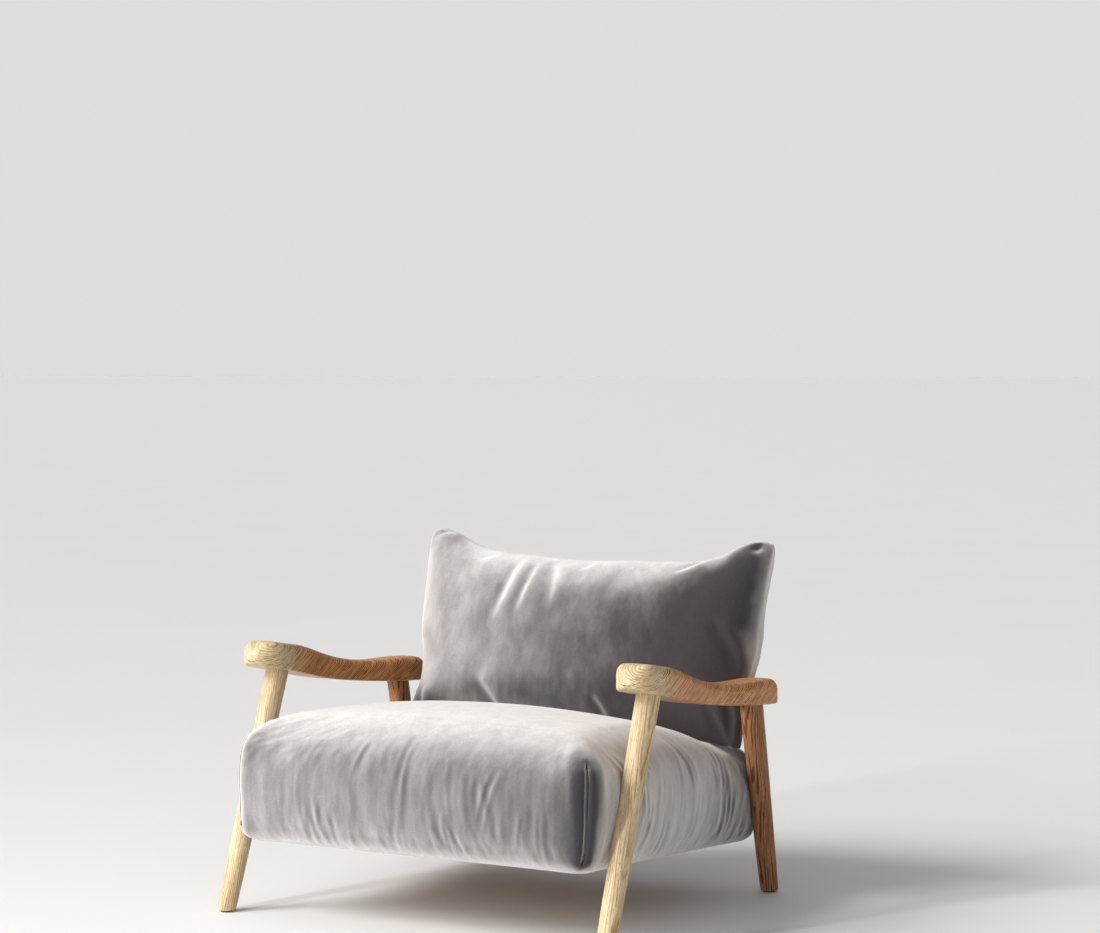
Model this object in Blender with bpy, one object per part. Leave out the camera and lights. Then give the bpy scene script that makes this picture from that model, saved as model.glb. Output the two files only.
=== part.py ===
"""Lounge armchair: an oak frame with two paddle-shaped arms, a deep velvet seat and a loose back cushion.

Metres, +Z up. The chair faces -Y and stands on Z = 0, and X = 0 is its plane of symmetry. The world origin
lies on the floor under the middle of the chair's outline. Inside this file every piece is placed from the
point midway between the two front feet, which the empty "chair" carries to its place.
"""

import math

import bmesh
import bpy
from mathutils import Matrix, Vector

GAP = 0.0003  # clearance that touching pieces keep
FEET_Y = -0.4330  # the front feet, from the middle of the outline

# Side frames: two round legs under an arm, each in a vertical plane.
HALF_TRACK = 0.445  # X of the legs' centre lines
FRONT_FOOT_Y = 0.0
FRONT_TOP = (0.184, 0.484)  # Y and Z where the front leg meets the arm
REAR_FOOT_Y = 0.750
REAR_TOP = (0.657, 0.412)
LEG_R_FOOT = 0.019
LEG_R_TOP = 0.025
LEG_TAPER = 0.6  # exponent: under 1, the leg swells like a spindle
LEG_SIDES = 20
LEG_RINGS = 8
FOOT_CHAMFER = 0.002
GLIDE_R = 0.012
GLIDE_H = 0.003

# Arm stations from front to back: Y, underside, top, half width.
ARM_STATIONS = (
    (0.092, 0.5030, 0.5490, 0.0420),
    (0.130, 0.4945, 0.5510, 0.0440),
    (0.180, 0.4850, 0.5435, 0.0450),
    (0.235, 0.4735, 0.5340, 0.0435),
    (0.300, 0.4590, 0.5155, 0.0400),
    (0.370, 0.4470, 0.4970, 0.0360),
    (0.450, 0.4360, 0.4825, 0.0340),
    (0.530, 0.4270, 0.4738, 0.0350),
    (0.620, 0.4185, 0.4708, 0.0372),
    (0.690, 0.4135, 0.4675, 0.0380),
    (0.746, 0.4100, 0.4600, 0.0370),
)
ARM_MIDDLE_CUTS = 15
ARM_TIP_CUTS = 5
ARM_TIP_LENGTH = 0.055  # how far the rounding of an end reaches in plan
ARM_TIP_TOP_DROP = 0.040
ARM_TIP_UNDER_RISE = 0.009
ARM_TOP_RADIUS = 0.014
ARM_UNDER_RADIUS = 0.006
ARM_CROWN = 0.002

# Seat, in its own axes: V runs back along its underside and W up, both tilted from the level.
SEAT_TILT = math.radians(3.6)
SEAT_ORIGIN = (-0.006, 0.153)  # Y and Z of the front lower edge
SEAT_HALF_WIDTH = 0.408
SEAT_LENGTH = 0.762
SEAT_SIDE_HEIGHT = 0.252
SEAT_CROWN = 0.032
SEAT_CROWN_V = 0.30  # where the crown is highest
SEAT_CROWN_REACH = 0.32  # how far it fades out in front and behind
SEAT_CROWN_INSETS = (0.13, 0.19, 0.25, 0.32)  # rings of points inside the top's rounding
SEAT_REAR_DIP = 0.043  # how far the rear sinks under the back cushion
SEAT_DIP_START, SEAT_DIP_END = 0.34, 0.64  # in the middle
SEAT_DIP_DELAY = 0.12  # how much further back the sides start to sink
SEAT_CORNER_R = 0.030
SEAT_TOP_ROUND = (0.074, 0.056)  # reach inwards and downwards
SEAT_UNDER_ROUND = (0.026, 0.026)
SEAT_BULGE = 0.012  # of the front and the sides
RECESS_HALF_WIDTH = 0.342
RECESS_V = (0.045, 0.722)
RECESS_DEPTH = 0.086

# Seat frame, in the seat's axes.
RAIL_W = (0.022, 0.067)
RAIL_THICK = 0.030
CROSS_RAIL_V = (0.0625, 0.7040)
BEARER_X = 0.325
BEARER_START_V = 0.0475
BOLT_R = 0.006
BOLT_Z = (0.198, 0.158)  # front and rear, where the legs are bolted to the bearers
BOLT_BITE = 0.006  # how deep the leg's curve cuts into the bolt's outer end
SLAT_COUNT = 7
SLAT_SIZE = (0.676, 0.045, 0.012)
SLAT_V = (0.140, 0.630)
BOARD_BEVEL = 0.003

# Back frame, in the seat's axes: two stiles that stand behind the seat and then lean back.
STILE_V = SEAT_LENGTH + 0.003
STILE_WIDTH = 0.038
STILE_DEPTH = 0.028
STILE_FOOT_W = 0.006
STILE_BEND_W = 0.190
STILE_LEAN = math.radians(11.5)  # beyond the seat's own tilt
STILE_UPPER = 0.335
BACK_RAIL_HEIGHT = 0.042
BACK_RAIL_DEPTH = 0.022
BACK_RAIL_LOW, BACK_RAIL_HIGH = 0.075, 0.309  # middle of each rail, up the leaning part
SPINDLE_COUNT = 7
SPINDLE_R = 0.007
SPINDLE_PITCH = 0.072

# Back cushion: a lens on a raked plane, pinched to a seam all round.
BACK_RAKE = math.atan(0.27)
BACK_YAW = math.radians(2.4)  # its right end lies a little further back
BACK_CENTRE = (0.007, 0.739, 0.5385)  # of the seam's plane
BACK_DOWN = (0.230, 0.238)  # to its lower left and right corners
BACK_UP = 0.220  # to its upper corners
BACK_HALF_WIDTH_LOW, BACK_HALF_WIDTH_HIGH = 0.402, 0.436
BACK_FRONT_DEPTH = 0.112
BACK_REAR_DEPTH = 0.088
BACK_TOP_SAG = 0.052
BACK_UNDER_SAG = 0.012
BACK_SIDE_SAG = 0.010
BACK_FOOT_KICK = (0.054, 0.032)  # how far its lower left and right corners slide forward
BACK_EDGE = 0.0015
BACK_FULLNESS = (2.6, 2.2, 0.52)  # exponents across, up and of the whole: lower is a sharper lens
BACK_CUTS = (22, 14)

OAK = ("oak", (0.60, 0.36, 0.17), 0.45)
OAK_SLAT = ("oak_slat", (0.66, 0.45, 0.26), 0.55)
STEEL = ("steel", (0.55, 0.55, 0.55), 0.35, 1.0)
VELVET = ("velvet", (0.42, 0.40, 0.38), 0.90)
GLIDE_PLASTIC = ("glide_plastic", (0.05, 0.05, 0.05), 0.60)


def clear_scene():
    for thing in list(bpy.data.objects):
        bpy.data.objects.remove(thing, do_unlink=True)


def make_material(name, colour, roughness, metallic=0.0):
    material = bpy.data.materials.get(name)
    if material is None:
        material = bpy.data.materials.new(name)
        material.use_nodes = True
        shader = material.node_tree.nodes["Principled BSDF"]
        shader.inputs["Base Color"].default_value = (*colour, 1.0)
        shader.inputs["Roughness"].default_value = roughness
        shader.inputs["Metallic"].default_value = metallic
    return material


def make_empty(name, location, tilt=0.0, parent=None, yaw=0.0):
    empty = bpy.data.objects.new(name, None)
    empty.location = location
    empty.rotation_euler = (tilt, 0.0, yaw)
    empty.parent = parent
    bpy.context.collection.objects.link(empty)
    return empty


def add_piece(name, shape, material, parent):
    """Turn a bmesh into a smooth-shaded object under its parent."""
    bmesh.ops.recalc_face_normals(shape, faces=shape.faces)
    mesh = bpy.data.meshes.new(name)
    shape.to_mesh(mesh)
    shape.free()
    mesh.shade_smooth()
    mesh.set_sharp_from_angle(angle=math.radians(35))
    piece = bpy.data.objects.new(name, mesh)
    piece.parent = parent
    if material is not None:
        mesh.materials.append(make_material(*material))
    bpy.context.collection.objects.link(piece)
    return piece


def add_cutter(name, shape, parent):
    cutter = add_piece(name, shape, None, parent)
    cutter.hide_render = True
    cutter.display_type = "WIRE"
    return cutter


def cut(piece, cutter):
    modifier = piece.modifiers.new("cut " + cutter.name, "BOOLEAN")
    modifier.operation = "DIFFERENCE"
    modifier.solver = "EXACT"
    modifier.object = cutter


def loft(rings, start, end):
    """Bridge rings of points into a closed tube, with a fan to a centre point at either end."""
    shape = bmesh.new()
    rows = [[shape.verts.new(point) for point in ring] for ring in rings]
    count = len(rings[0])
    for low, high in zip(rows, rows[1:]):
        for i in range(count):
            j = (i + 1) % count
            shape.faces.new((low[i], low[j], high[j], high[i]))
    for row, centre in ((rows[0], start), (rows[-1], end)):
        hub = shape.verts.new(centre)
        for i in range(count):
            shape.faces.new((row[i], row[(i + 1) % count], hub))
    return shape


def block(low, high, bevel=BOARD_BEVEL):
    """A box between two corners, with its edges chamfered."""
    shape = bmesh.new()
    size = Vector(high) - Vector(low)
    middle = (Vector(high) + Vector(low)) / 2
    bmesh.ops.create_cube(shape, size=1.0, matrix=Matrix.Translation(middle) @ Matrix.Diagonal((*size, 1.0)))
    if bevel:
        bmesh.ops.bevel(shape, geom=list(shape.edges), offset=bevel, segments=1, affect="EDGES")
    return shape


def smooth_step(t):
    t = min(max(t, 0.0), 1.0)
    return t * t * (3 - 2 * t)


def quarter(t):
    """Height of a quarter circle: 0 at t = 0, where it rises steeply, and 1 from t = 1 on."""
    t = min(max(t, 0.0), 1.0)
    return math.sqrt(1 - (1 - t) ** 2)


def along_stations(y, column):
    """A smooth curve through one column of ARM_STATIONS."""
    last = len(ARM_STATIONS) - 1
    k = 0
    while k < last - 1 and y > ARM_STATIONS[k + 1][0]:
        k += 1
    y0, y1 = ARM_STATIONS[k][0], ARM_STATIONS[k + 1][0]
    z0, z1 = ARM_STATIONS[k][column], ARM_STATIONS[k + 1][column]
    before, after = ARM_STATIONS[max(k - 1, 0)], ARM_STATIONS[min(k + 2, last)]
    slope0 = (z1 - before[column]) / (y1 - before[0])
    slope1 = (after[column] - z0) / (after[0] - y0)
    t = (y - y0) / (y1 - y0)
    span = y1 - y0
    return (
        (2 * t**3 - 3 * t**2 + 1) * z0
        + (t**3 - 2 * t**2 + t) * span * slope0
        + (3 * t**2 - 2 * t**3) * z1
        + (t**3 - t**2) * span * slope1
    )


def arm_underside(y):
    return along_stations(y, 1)


def rounded_section(half_width, under, top, steps=3):
    """X and Z round a section with a crowned top, upright sides and a flatter underside."""
    room = min(half_width, (top - under) / 2) * 0.96
    points = []
    for radius, centre_z, start in (
        (min(ARM_UNDER_RADIUS, room), under, -90),
        (min(ARM_TOP_RADIUS, room), top, 0),
    ):
        middle_z = centre_z + radius if start < 0 else centre_z - radius
        for k in range(steps + 1):
            angle = math.radians(start + 90 * k / steps)
            reach = half_width - radius + radius * math.cos(angle)
            height = middle_z + radius * math.sin(angle)
            if start >= 0:
                height -= ARM_CROWN * (reach / half_width) ** 2
            points.append((reach, height))
    points.append((0.0, top))
    mirrored = [(-x, z) for x, z in reversed(points[:-1])]
    return points + mirrored


def arm_section(y):
    """The arm's section at Y, drawn in at both ends."""
    first, last = ARM_STATIONS[0][0], ARM_STATIONS[-1][0]
    from_tip = min(y - first, last - y)
    plan = quarter(from_tip / ARM_TIP_LENGTH)
    top = along_stations(y, 2) - ARM_TIP_TOP_DROP * (1 - quarter(from_tip / (0.8 * ARM_TIP_LENGTH)))
    under = arm_underside(y) + ARM_TIP_UNDER_RISE * (1 - quarter(from_tip / (0.3 * ARM_TIP_LENGTH)))
    return rounded_section(along_stations(y, 3) * plan, under, top)


def arm_cuts():
    first, last = ARM_STATIONS[0][0], ARM_STATIONS[-1][0]
    tip = [
        ARM_TIP_LENGTH * (1 - math.cos(math.radians(7 + 83 * k / ARM_TIP_CUTS)))
        for k in range(ARM_TIP_CUTS + 1)
    ]
    start, end = first + tip[-1], last - tip[-1]
    middle = [start + (end - start) * k / ARM_MIDDLE_CUTS for k in range(1, ARM_MIDDLE_CUTS)]
    return [first + d for d in tip] + middle + [last - d for d in reversed(tip)]


def build_arm(side, x, chair):
    rings = [[Vector((x + px, y, pz)) for px, pz in arm_section(y)] for y in arm_cuts()]
    start = sum(rings[0], Vector()) / len(rings[0])
    end = sum(rings[-1], Vector()) / len(rings[-1])
    add_piece("arm_" + side, loft(rings, start, end), OAK, chair)


def leg_radius(t):
    return LEG_R_FOOT + (LEG_R_TOP - LEG_R_FOOT) * max(t, 0.0) ** LEG_TAPER


def leg_point(foot, top, t, angle, grow=0.0):
    """A point on a leg's skin at share t of its length; its sections are level circles."""
    axis = foot.lerp(top, t)
    radius = leg_radius(t) + grow
    return axis + Vector((radius * math.cos(angle), radius * math.sin(angle), 0.0))


def reach_arm(foot, top, angle, grow):
    """The share t at which a line up the leg's skin meets the arm's underside."""
    low, high = 0.8, 1.3
    for _ in range(40):
        t = (low + high) / 2
        point = leg_point(foot, top, t, angle, grow)
        if point.z < arm_underside(point.y) - GAP:
            low = t
        else:
            high = t
    return low


def leg_shape(foot, top, grow=0.0):
    """A turned leg, scribed to the curved underside of the arm."""
    angles = [2 * math.pi * i / LEG_SIDES for i in range(LEG_SIDES)]
    bottom = (GLIDE_H + GAP) / top.z
    shoulder = bottom + 0.004 / top.z
    rings = [[leg_point(foot, top, bottom, a, grow - FOOT_CHAMFER) for a in angles]]
    for k in range(LEG_RINGS):
        t = shoulder + (0.93 - shoulder) * k / (LEG_RINGS - 1)
        rings.append([leg_point(foot, top, t, a, grow) for a in angles])
    rings.append([leg_point(foot, top, reach_arm(foot, top, a, grow), a, grow) for a in angles])
    start = foot.lerp(top, bottom)
    end = foot.lerp(top, reach_arm(foot, top, math.pi / 2, -leg_radius(1.0)))
    return loft(rings, start, end)


def rod(start, end, radius, sides):
    """A round bar between two points."""
    start, end = Vector(start), Vector(end)
    axis = end - start
    turn = Vector((0, 0, 1)).rotation_difference(axis).to_matrix().to_4x4()
    shape = bmesh.new()
    bmesh.ops.create_cone(
        shape,
        cap_ends=True,
        segments=sides,
        radius1=radius,
        radius2=radius,
        depth=axis.length,
        matrix=Matrix.Translation((start + end) / 2) @ turn,
    )
    return shape


def build_side(side, x, chair):
    """One side frame: an arm on two legs, with glides under them and bolts to the seat's bearers."""
    build_arm(side, x, chair)
    outwards = math.copysign(1.0, x)
    holes = []
    for place, foot_y, top_yz, bolt_z in (
        ("front", FRONT_FOOT_Y, FRONT_TOP, BOLT_Z[0]),
        ("rear", REAR_FOOT_Y, REAR_TOP, BOLT_Z[1]),
    ):
        name = f"{place}_{side}"
        foot, top = Vector((x, foot_y, 0.0)), Vector((x, *top_yz))
        add_piece("leg_" + name, leg_shape(foot, top), OAK, chair)
        glide = rod((x, foot_y, 0.0), (x, foot_y, GLIDE_H), GLIDE_R, 16)
        add_piece("glide_" + name, glide, GLIDE_PLASTIC, chair)

        middle = foot.lerp(top, bolt_z / top.z)
        inner = Vector((outwards * (BEARER_X + RAIL_THICK / 2 + GAP), middle.y, middle.z))
        outer = Vector((x - outwards * (leg_radius(bolt_z / top.z) - BOLT_BITE), middle.y, middle.z))
        bolt = add_piece("bolt_" + name, rod(inner, outer, BOLT_R, 14), STEEL, chair)
        cut(bolt, add_cutter("scribe_" + name, leg_shape(foot, top, GAP), chair))
        hole = rod((0.5 * inner.x, *inner.yz), (1.5 * outer.x, *outer.yz), BOLT_R + GAP, 14)
        holes.append(add_cutter("hole_" + name, hole, chair))
    return holes


def seat_outline(inset, per_corner=5, per_side=7):
    """Points round a rectangle with rounded corners, in X and V, drawn in by inset."""
    half_x = SEAT_HALF_WIDTH - inset
    half_v = SEAT_LENGTH / 2 - inset
    radius = min(SEAT_CORNER_R, half_x * 0.6, half_v * 0.6)
    points = []
    for turn, (sx, sv) in enumerate(((1, 1), (-1, 1), (-1, -1), (1, -1))):
        centre = Vector((sx * (half_x - radius), sv * (half_v - radius)))
        for k in range(per_corner):
            angle = math.radians(90 * turn + 90 * k / (per_corner - 1))
            points.append(centre + radius * Vector((math.cos(angle), math.sin(angle))))
    outline = []
    for i, point in enumerate(points):
        outline.append(point)
        if i % per_corner == per_corner - 1:
            following = points[(i + 1) % len(points)]
            outline += [point.lerp(following, k / per_side) for k in range(1, per_side)]
    return [(p.x, p.y + SEAT_LENGTH / 2) for p in outline]


def seat_top(x, v):
    """Height of the seat's upper face: crowned in the middle, sunk under the back cushion."""
    outwards = (x / SEAT_HALF_WIDTH) ** 2
    start = SEAT_DIP_START + SEAT_DIP_DELAY * outwards**4
    dip = SEAT_REAR_DIP * smooth_step((v - start) / (SEAT_DIP_END - SEAT_DIP_START))
    across = max(0.0, 1 - outwards)
    along = max(0.0, 1 - (abs(v - SEAT_CROWN_V) / SEAT_CROWN_REACH) ** 2.2)
    return SEAT_SIDE_HEIGHT - dip + SEAT_CROWN * across * along


def seat_cushion_shape():
    """Rings from the underside's edge, up the bulging sides and in over the crown."""
    under_in, under_up = SEAT_UNDER_ROUND
    top_in, top_down = SEAT_TOP_ROUND
    levels = []
    for k in range(4):
        angle = math.radians(30 * k)
        levels.append((under_in * (1 - math.sin(angle)), 0.0, under_up * (1 - math.cos(angle))))
    for share in (0.25, 0.5, 0.75):
        levels.append((0.0, share, under_up * (1 - share) - top_down * share))
    for k in range(6):
        angle = math.radians(18 * k)
        levels.append((top_in * (1 - math.cos(angle)), 1.0, -top_down * (1 - math.sin(angle))))
    levels += [(inset, 1.0, 0.0) for inset in SEAT_CROWN_INSETS]
    rings = []
    for inset, share, rise in levels:
        ring = []
        for x, v in seat_outline(inset):
            top = seat_top(x, v)
            w = share * top + rise
            bulge = SEAT_BULGE * math.sin(math.pi * min(max(w / top, 0.0), 1.0)) ** 0.7
            x *= 1 + bulge / SEAT_HALF_WIDTH
            v -= bulge * (1 - v / SEAT_LENGTH)
            ring.append(Vector((x, v, w)))
        rings.append(ring)
    middle = SEAT_LENGTH / 2
    return loft(rings, Vector((0, middle, 0)), Vector((0, middle, seat_top(0, middle))))


def build_seat_cushion(seat, bolt_holes):
    """The upholstered seat, open underneath where its frame sits."""
    cushion = add_piece("seat_cushion", seat_cushion_shape(), VELVET, seat)
    recess = block(
        (-RECESS_HALF_WIDTH, RECESS_V[0], -0.05), (RECESS_HALF_WIDTH, RECESS_V[1], RECESS_DEPTH), bevel=0
    )
    cut(cushion, add_cutter("recess", recess, seat))
    half = RAIL_THICK / 2 + 0.001
    for name, x in (("left", -BEARER_X), ("right", BEARER_X)):
        slot = block((x - half, 0.5, -0.06), (x + half, 0.9, RAIL_W[1] + 0.001), bevel=0)
        cut(cushion, add_cutter("slot_" + name, slot, seat))
    for hole in bolt_holes:
        cut(cushion, hole)


def build_seat_frame(seat):
    """Two bearers that run back to the stiles, two cross rails between them, and slats on top."""
    half = RAIL_THICK / 2
    low, high = RAIL_W
    for name, x in (("left", -BEARER_X), ("right", BEARER_X)):
        bearer = block((x - half, BEARER_START_V, low), (x + half, STILE_V - GAP, high))
        add_piece("seat_bearer_" + name, bearer, OAK, seat)
    reach = BEARER_X - half - GAP
    for name, v in zip(("front", "rear"), CROSS_RAIL_V):
        rail = block((-reach, v - half, low), (reach, v + half, high))
        add_piece("seat_rail_" + name, rail, OAK, seat)
    width, depth, thick = SLAT_SIZE
    for k in range(SLAT_COUNT):
        v = SLAT_V[0] + (SLAT_V[1] - SLAT_V[0]) * k / (SLAT_COUNT - 1)
        corner = Vector((-width / 2, v - depth / 2, high + GAP))
        slat = block(corner, corner + Vector((width, depth, thick)))
        add_piece(f"seat_slat_{k + 1}", slat, OAK_SLAT, seat)


def stile_shape():
    """One stile as a side outline, straight at its foot and leaning back above the bend."""
    up = Vector((math.sin(STILE_LEAN), math.cos(STILE_LEAN)))
    back = Vector((up.y, -up.x))
    bend = Vector((STILE_V, STILE_BEND_W))
    half_lean = math.tan(STILE_LEAN / 2) * STILE_DEPTH
    head = bend + up * STILE_UPPER
    outline = [
        Vector((STILE_V, STILE_FOOT_W)),
        bend,
        head,
        head + back * STILE_DEPTH,
        Vector((STILE_V + STILE_DEPTH, STILE_BEND_W - half_lean)),
        Vector((STILE_V + STILE_DEPTH, STILE_FOOT_W)),
    ]
    shape = bmesh.new()
    face = shape.faces.new([shape.verts.new((-STILE_WIDTH / 2, p.x, p.y)) for p in outline])
    extruded = bmesh.ops.extrude_face_region(shape, geom=[face])
    moved = [v for v in extruded["geom"] if isinstance(v, bmesh.types.BMVert)]
    bmesh.ops.translate(shape, verts=moved, vec=(STILE_WIDTH, 0, 0))
    bmesh.ops.recalc_face_normals(shape, faces=shape.faces)
    bmesh.ops.bevel(shape, geom=list(shape.edges), offset=0.004, segments=2, affect="EDGES")
    return shape


def build_back_frame(seat):
    """Two stiles, two rails between them and round spindles between the rails."""
    for name, x in (("left", -BEARER_X), ("right", BEARER_X)):
        stile = stile_shape()
        bmesh.ops.translate(stile, verts=stile.verts, vec=(x, 0, 0))
        add_piece("back_stile_" + name, stile, OAK, seat)
    lean = make_empty("back_lean", (0, STILE_V, STILE_BEND_W), -STILE_LEAN, seat)
    reach = BEARER_X - STILE_WIDTH / 2 - GAP
    rear = STILE_DEPTH / 2 + BACK_RAIL_DEPTH / 2
    front = rear - BACK_RAIL_DEPTH
    for name, height in (("low", BACK_RAIL_LOW), ("high", BACK_RAIL_HIGH)):
        bottom, top = height - BACK_RAIL_HEIGHT / 2, height + BACK_RAIL_HEIGHT / 2
        rail = block((-reach, front, bottom), (reach, rear, top), 0.004)
        add_piece("back_rail_" + name, rail, OAK, lean)
    start = BACK_RAIL_LOW + BACK_RAIL_HEIGHT / 2 + GAP
    end = BACK_RAIL_HIGH - BACK_RAIL_HEIGHT / 2 - GAP
    for k in range(SPINDLE_COUNT):
        x = SPINDLE_PITCH * (k - (SPINDLE_COUNT - 1) / 2)
        spindle = rod((x, STILE_DEPTH / 2, start), (x, STILE_DEPTH / 2, end), SPINDLE_R, 12)
        add_piece(f"back_spindle_{k + 1}", spindle, OAK, lean)


def pillow_depth(u, v):
    """Share of the full depth at U and V, each from -1 to 1: full in the middle, nothing at the seam."""
    across, upright, whole = BACK_FULLNESS
    return ((1 - abs(u) ** across) * (1 - abs(v) ** upright)) ** whole


def pillow_point(u, v, face):
    """A point of the back cushion; face is -1 on its front, 1 on its rear and 0 on the seam."""
    widen = smooth_step((v + 0.45) / 0.35)
    half_width = BACK_HALF_WIDTH_LOW + (BACK_HALF_WIDTH_HIGH - BACK_HALF_WIDTH_LOW) * widen
    x = u * (half_width - BACK_SIDE_SAG * (1 - v * v))
    down = BACK_DOWN[0] + (BACK_DOWN[1] - BACK_DOWN[0]) * (u + 1) / 2
    height, sag = (BACK_UP, BACK_TOP_SAG) if v > 0 else (down, BACK_UNDER_SAG)
    up = v * (height - sag * (1 - abs(u) ** 2.5) * v * v)
    depth = BACK_FRONT_DEPTH if face < 0 else BACK_REAR_DEPTH
    out = face * (BACK_EDGE + depth * pillow_depth(u, v))
    left, right = BACK_FOOT_KICK
    kick = (left + (right - left) * (u + 1) / 2) * smooth_step((-0.1 - v) / 0.9)
    return Vector((x, out - kick, up))


def build_back_cushion(chair):
    """Front and rear faces on one grid, joined by a narrow band at the seam."""
    lean = make_empty("back_cushion_lean", BACK_CENTRE, -BACK_RAKE, chair, BACK_YAW)
    across, upright = BACK_CUTS
    shape = bmesh.new()

    def spread(k, count):
        return math.sin(math.pi / 2 * (2 * k / count - 1))

    grids = {}
    for face in (-1, 1):
        grid = []
        for j in range(upright + 1):
            v = spread(j, upright)
            row = [pillow_point(spread(i, across), v, face) for i in range(across + 1)]
            grid.append([shape.verts.new(point) for point in row])
        for low, high in zip(grid, grid[1:]):
            for i in range(across):
                shape.faces.new((low[i], low[i + 1], high[i + 1], high[i]))
        grids[face] = grid
    rim = [(0, i) for i in range(across)]
    rim += [(j, across) for j in range(upright)]
    rim += [(upright, i) for i in range(across, 0, -1)]
    rim += [(j, 0) for j in range(upright, 0, -1)]
    for (j0, i0), (j1, i1) in zip(rim, rim[1:] + rim[:1]):
        front, rear = grids[-1], grids[1]
        shape.faces.new((front[j0][i0], front[j1][i1], rear[j1][i1], rear[j0][i0]))
    add_piece("back_cushion", shape, VELVET, lean)


def main():
    clear_scene()
    chair = make_empty("chair", (0, FEET_Y, 0))
    bolt_holes = build_side("left", -HALF_TRACK, chair) + build_side("right", HALF_TRACK, chair)
    seat = make_empty("seat", (0, *SEAT_ORIGIN), -SEAT_TILT, chair)
    build_seat_cushion(seat, bolt_holes)
    build_seat_frame(seat)
    build_back_frame(seat)
    build_back_cushion(chair)
    bpy.context.view_layer.update()


main()
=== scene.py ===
"""Dresses a lounge armchair: oak side frames, a spindle back, a velvet box seat and a loose back cushion.

Metres, +Z up. The chair faces -Y and stands on Z = 0. Every place is read from the loaded frame, and the
panel's settings hold the sizes and colours that the frame doesn't give.
"""

import math
from functools import partial

import bmesh
import bpy
import numpy as np
from bpy.props import FloatProperty, FloatVectorProperty, IntProperty, PointerProperty
from mathutils import Matrix, Vector, noise
from mathutils.bvhtree import BVHTree


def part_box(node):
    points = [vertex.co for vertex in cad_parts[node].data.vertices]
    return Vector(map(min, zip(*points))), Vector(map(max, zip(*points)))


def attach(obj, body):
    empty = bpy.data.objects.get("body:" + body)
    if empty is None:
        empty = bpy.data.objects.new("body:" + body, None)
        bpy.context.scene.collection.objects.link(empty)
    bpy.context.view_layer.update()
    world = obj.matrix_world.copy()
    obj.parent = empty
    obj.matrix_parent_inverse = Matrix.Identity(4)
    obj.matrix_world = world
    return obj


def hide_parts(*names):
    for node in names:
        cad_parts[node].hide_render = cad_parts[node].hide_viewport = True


bl_info = {
    "name": "Lounge Armchair",
    "version": (1, 0, 0),
    "blender": (4, 5, 0),
    "location": "View3D > Sidebar > Armchair",
    "description": "Oak side frames, spindle back, velvet seat and loose back cushion",
    "category": "Add Mesh",
}

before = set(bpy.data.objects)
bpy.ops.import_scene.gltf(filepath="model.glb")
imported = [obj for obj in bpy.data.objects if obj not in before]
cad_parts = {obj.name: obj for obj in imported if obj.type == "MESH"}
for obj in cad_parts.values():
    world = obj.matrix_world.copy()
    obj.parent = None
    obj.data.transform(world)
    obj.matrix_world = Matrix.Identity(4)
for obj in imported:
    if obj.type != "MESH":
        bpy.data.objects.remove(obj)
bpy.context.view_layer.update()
SIDES = ("left", "right")
LEG_NAMES = tuple(f"leg_{place}_{side}" for place in ("front", "rear") for side in SIDES)
GRAIN = "grain"  # vector attribute on wood: two directions across the fibres, then along them
NAP_AND_PAINTED_LIGHT = "nap"  # float attribute on velvet: painted light and shade on both covers, plus random brushed patches on the back cushion; pale above 0 and dark below
RISE = "rise"  # float attribute on the seat cover: distance up from its lower edge
SHEET = "sheet"  # vector attribute on the back cushion: U, V, and -1 on its front or 1 on its rear
QUARTER = math.pi / 2
OAKS = {  # where along the chair each oak turns from its painted lit front colour to its painted shaded back colour, and the tint of the painted shade further back
    "arm_oak": ((-0.300, -0.185), (1.0, 1.0, 1.0)),
    "leg_oak": ((-0.15, 0.05), (0.56, 0.58, 0.76)),
}


# ------------------------------------------------------------
# Settings

Length = partial(FloatProperty, unit="LENGTH", min=0.0001)
Angle = partial(FloatProperty, subtype="ANGLE")
Share = partial(FloatProperty, min=0, max=1)
Colour = partial(FloatVectorProperty, subtype="COLOR", min=0, max=1)


class OakSettings(bpy.types.PropertyGroup):
    # The pale colours are painted light, for the lit front of the chair; the brown ones are painted shade, for
    # the parts further back.
    sapwood: Colour(name="Sapwood", description="Pale wood, at the chair's front", default=(0.79, 0.66, 0.43))
    sapwood_line: Colour(
        name="Sapwood's lines", description="Growth lines of the pale wood", default=(0.36, 0.185, 0.075)
    )
    heartwood: Colour(name="Heartwood", description="Brown wood, further back", default=(0.80, 0.385, 0.140))
    heartwood_line: Colour(
        name="Heartwood's lines", description="Growth lines of the brown wood", default=(0.21, 0.066, 0.023)
    )
    line_spacing: Length(name="Growth lines", description="Distance between growth lines", default=0.0044)
    roughness: Share(name="Roughness", description="Roughness of the oiled surface", default=0.33)


class VelvetSettings(bpy.types.PropertyGroup):
    deep: Colour(
        name="Into the pile", description="Colour seen straight into the pile", default=(0.058, 0.050, 0.056)
    )
    bloom: Colour(name="Along the pile", description="Colour seen along the pile", default=(0.80, 0.77, 0.75))
    sheen: Share(name="Sheen", description="Strength of the sheen", default=0.35)
    # Only the contrast of the random brushed patches; the painted light and shade come from the covers'
    # attribute.
    nap: Share(name="Nap", description="Contrast of the brushed patches", default=0.09)


class SideFrameSettings(bpy.types.PropertyGroup):
    arm_top_radius: Length(name="Upper edges", description="Rounding of the arms' tops", default=0.017)
    arm_under_radius: Length(name="Lower edges", description="Rounding of the arms' undersides", default=0.006)
    grain_angle: Angle(name="Grain", description="Slope of the grain on the arms", default=math.radians(26))
    foot_radius: Length(name="Foot's edge", description="Rounding of the leg's lower edge", default=0.003)


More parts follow.
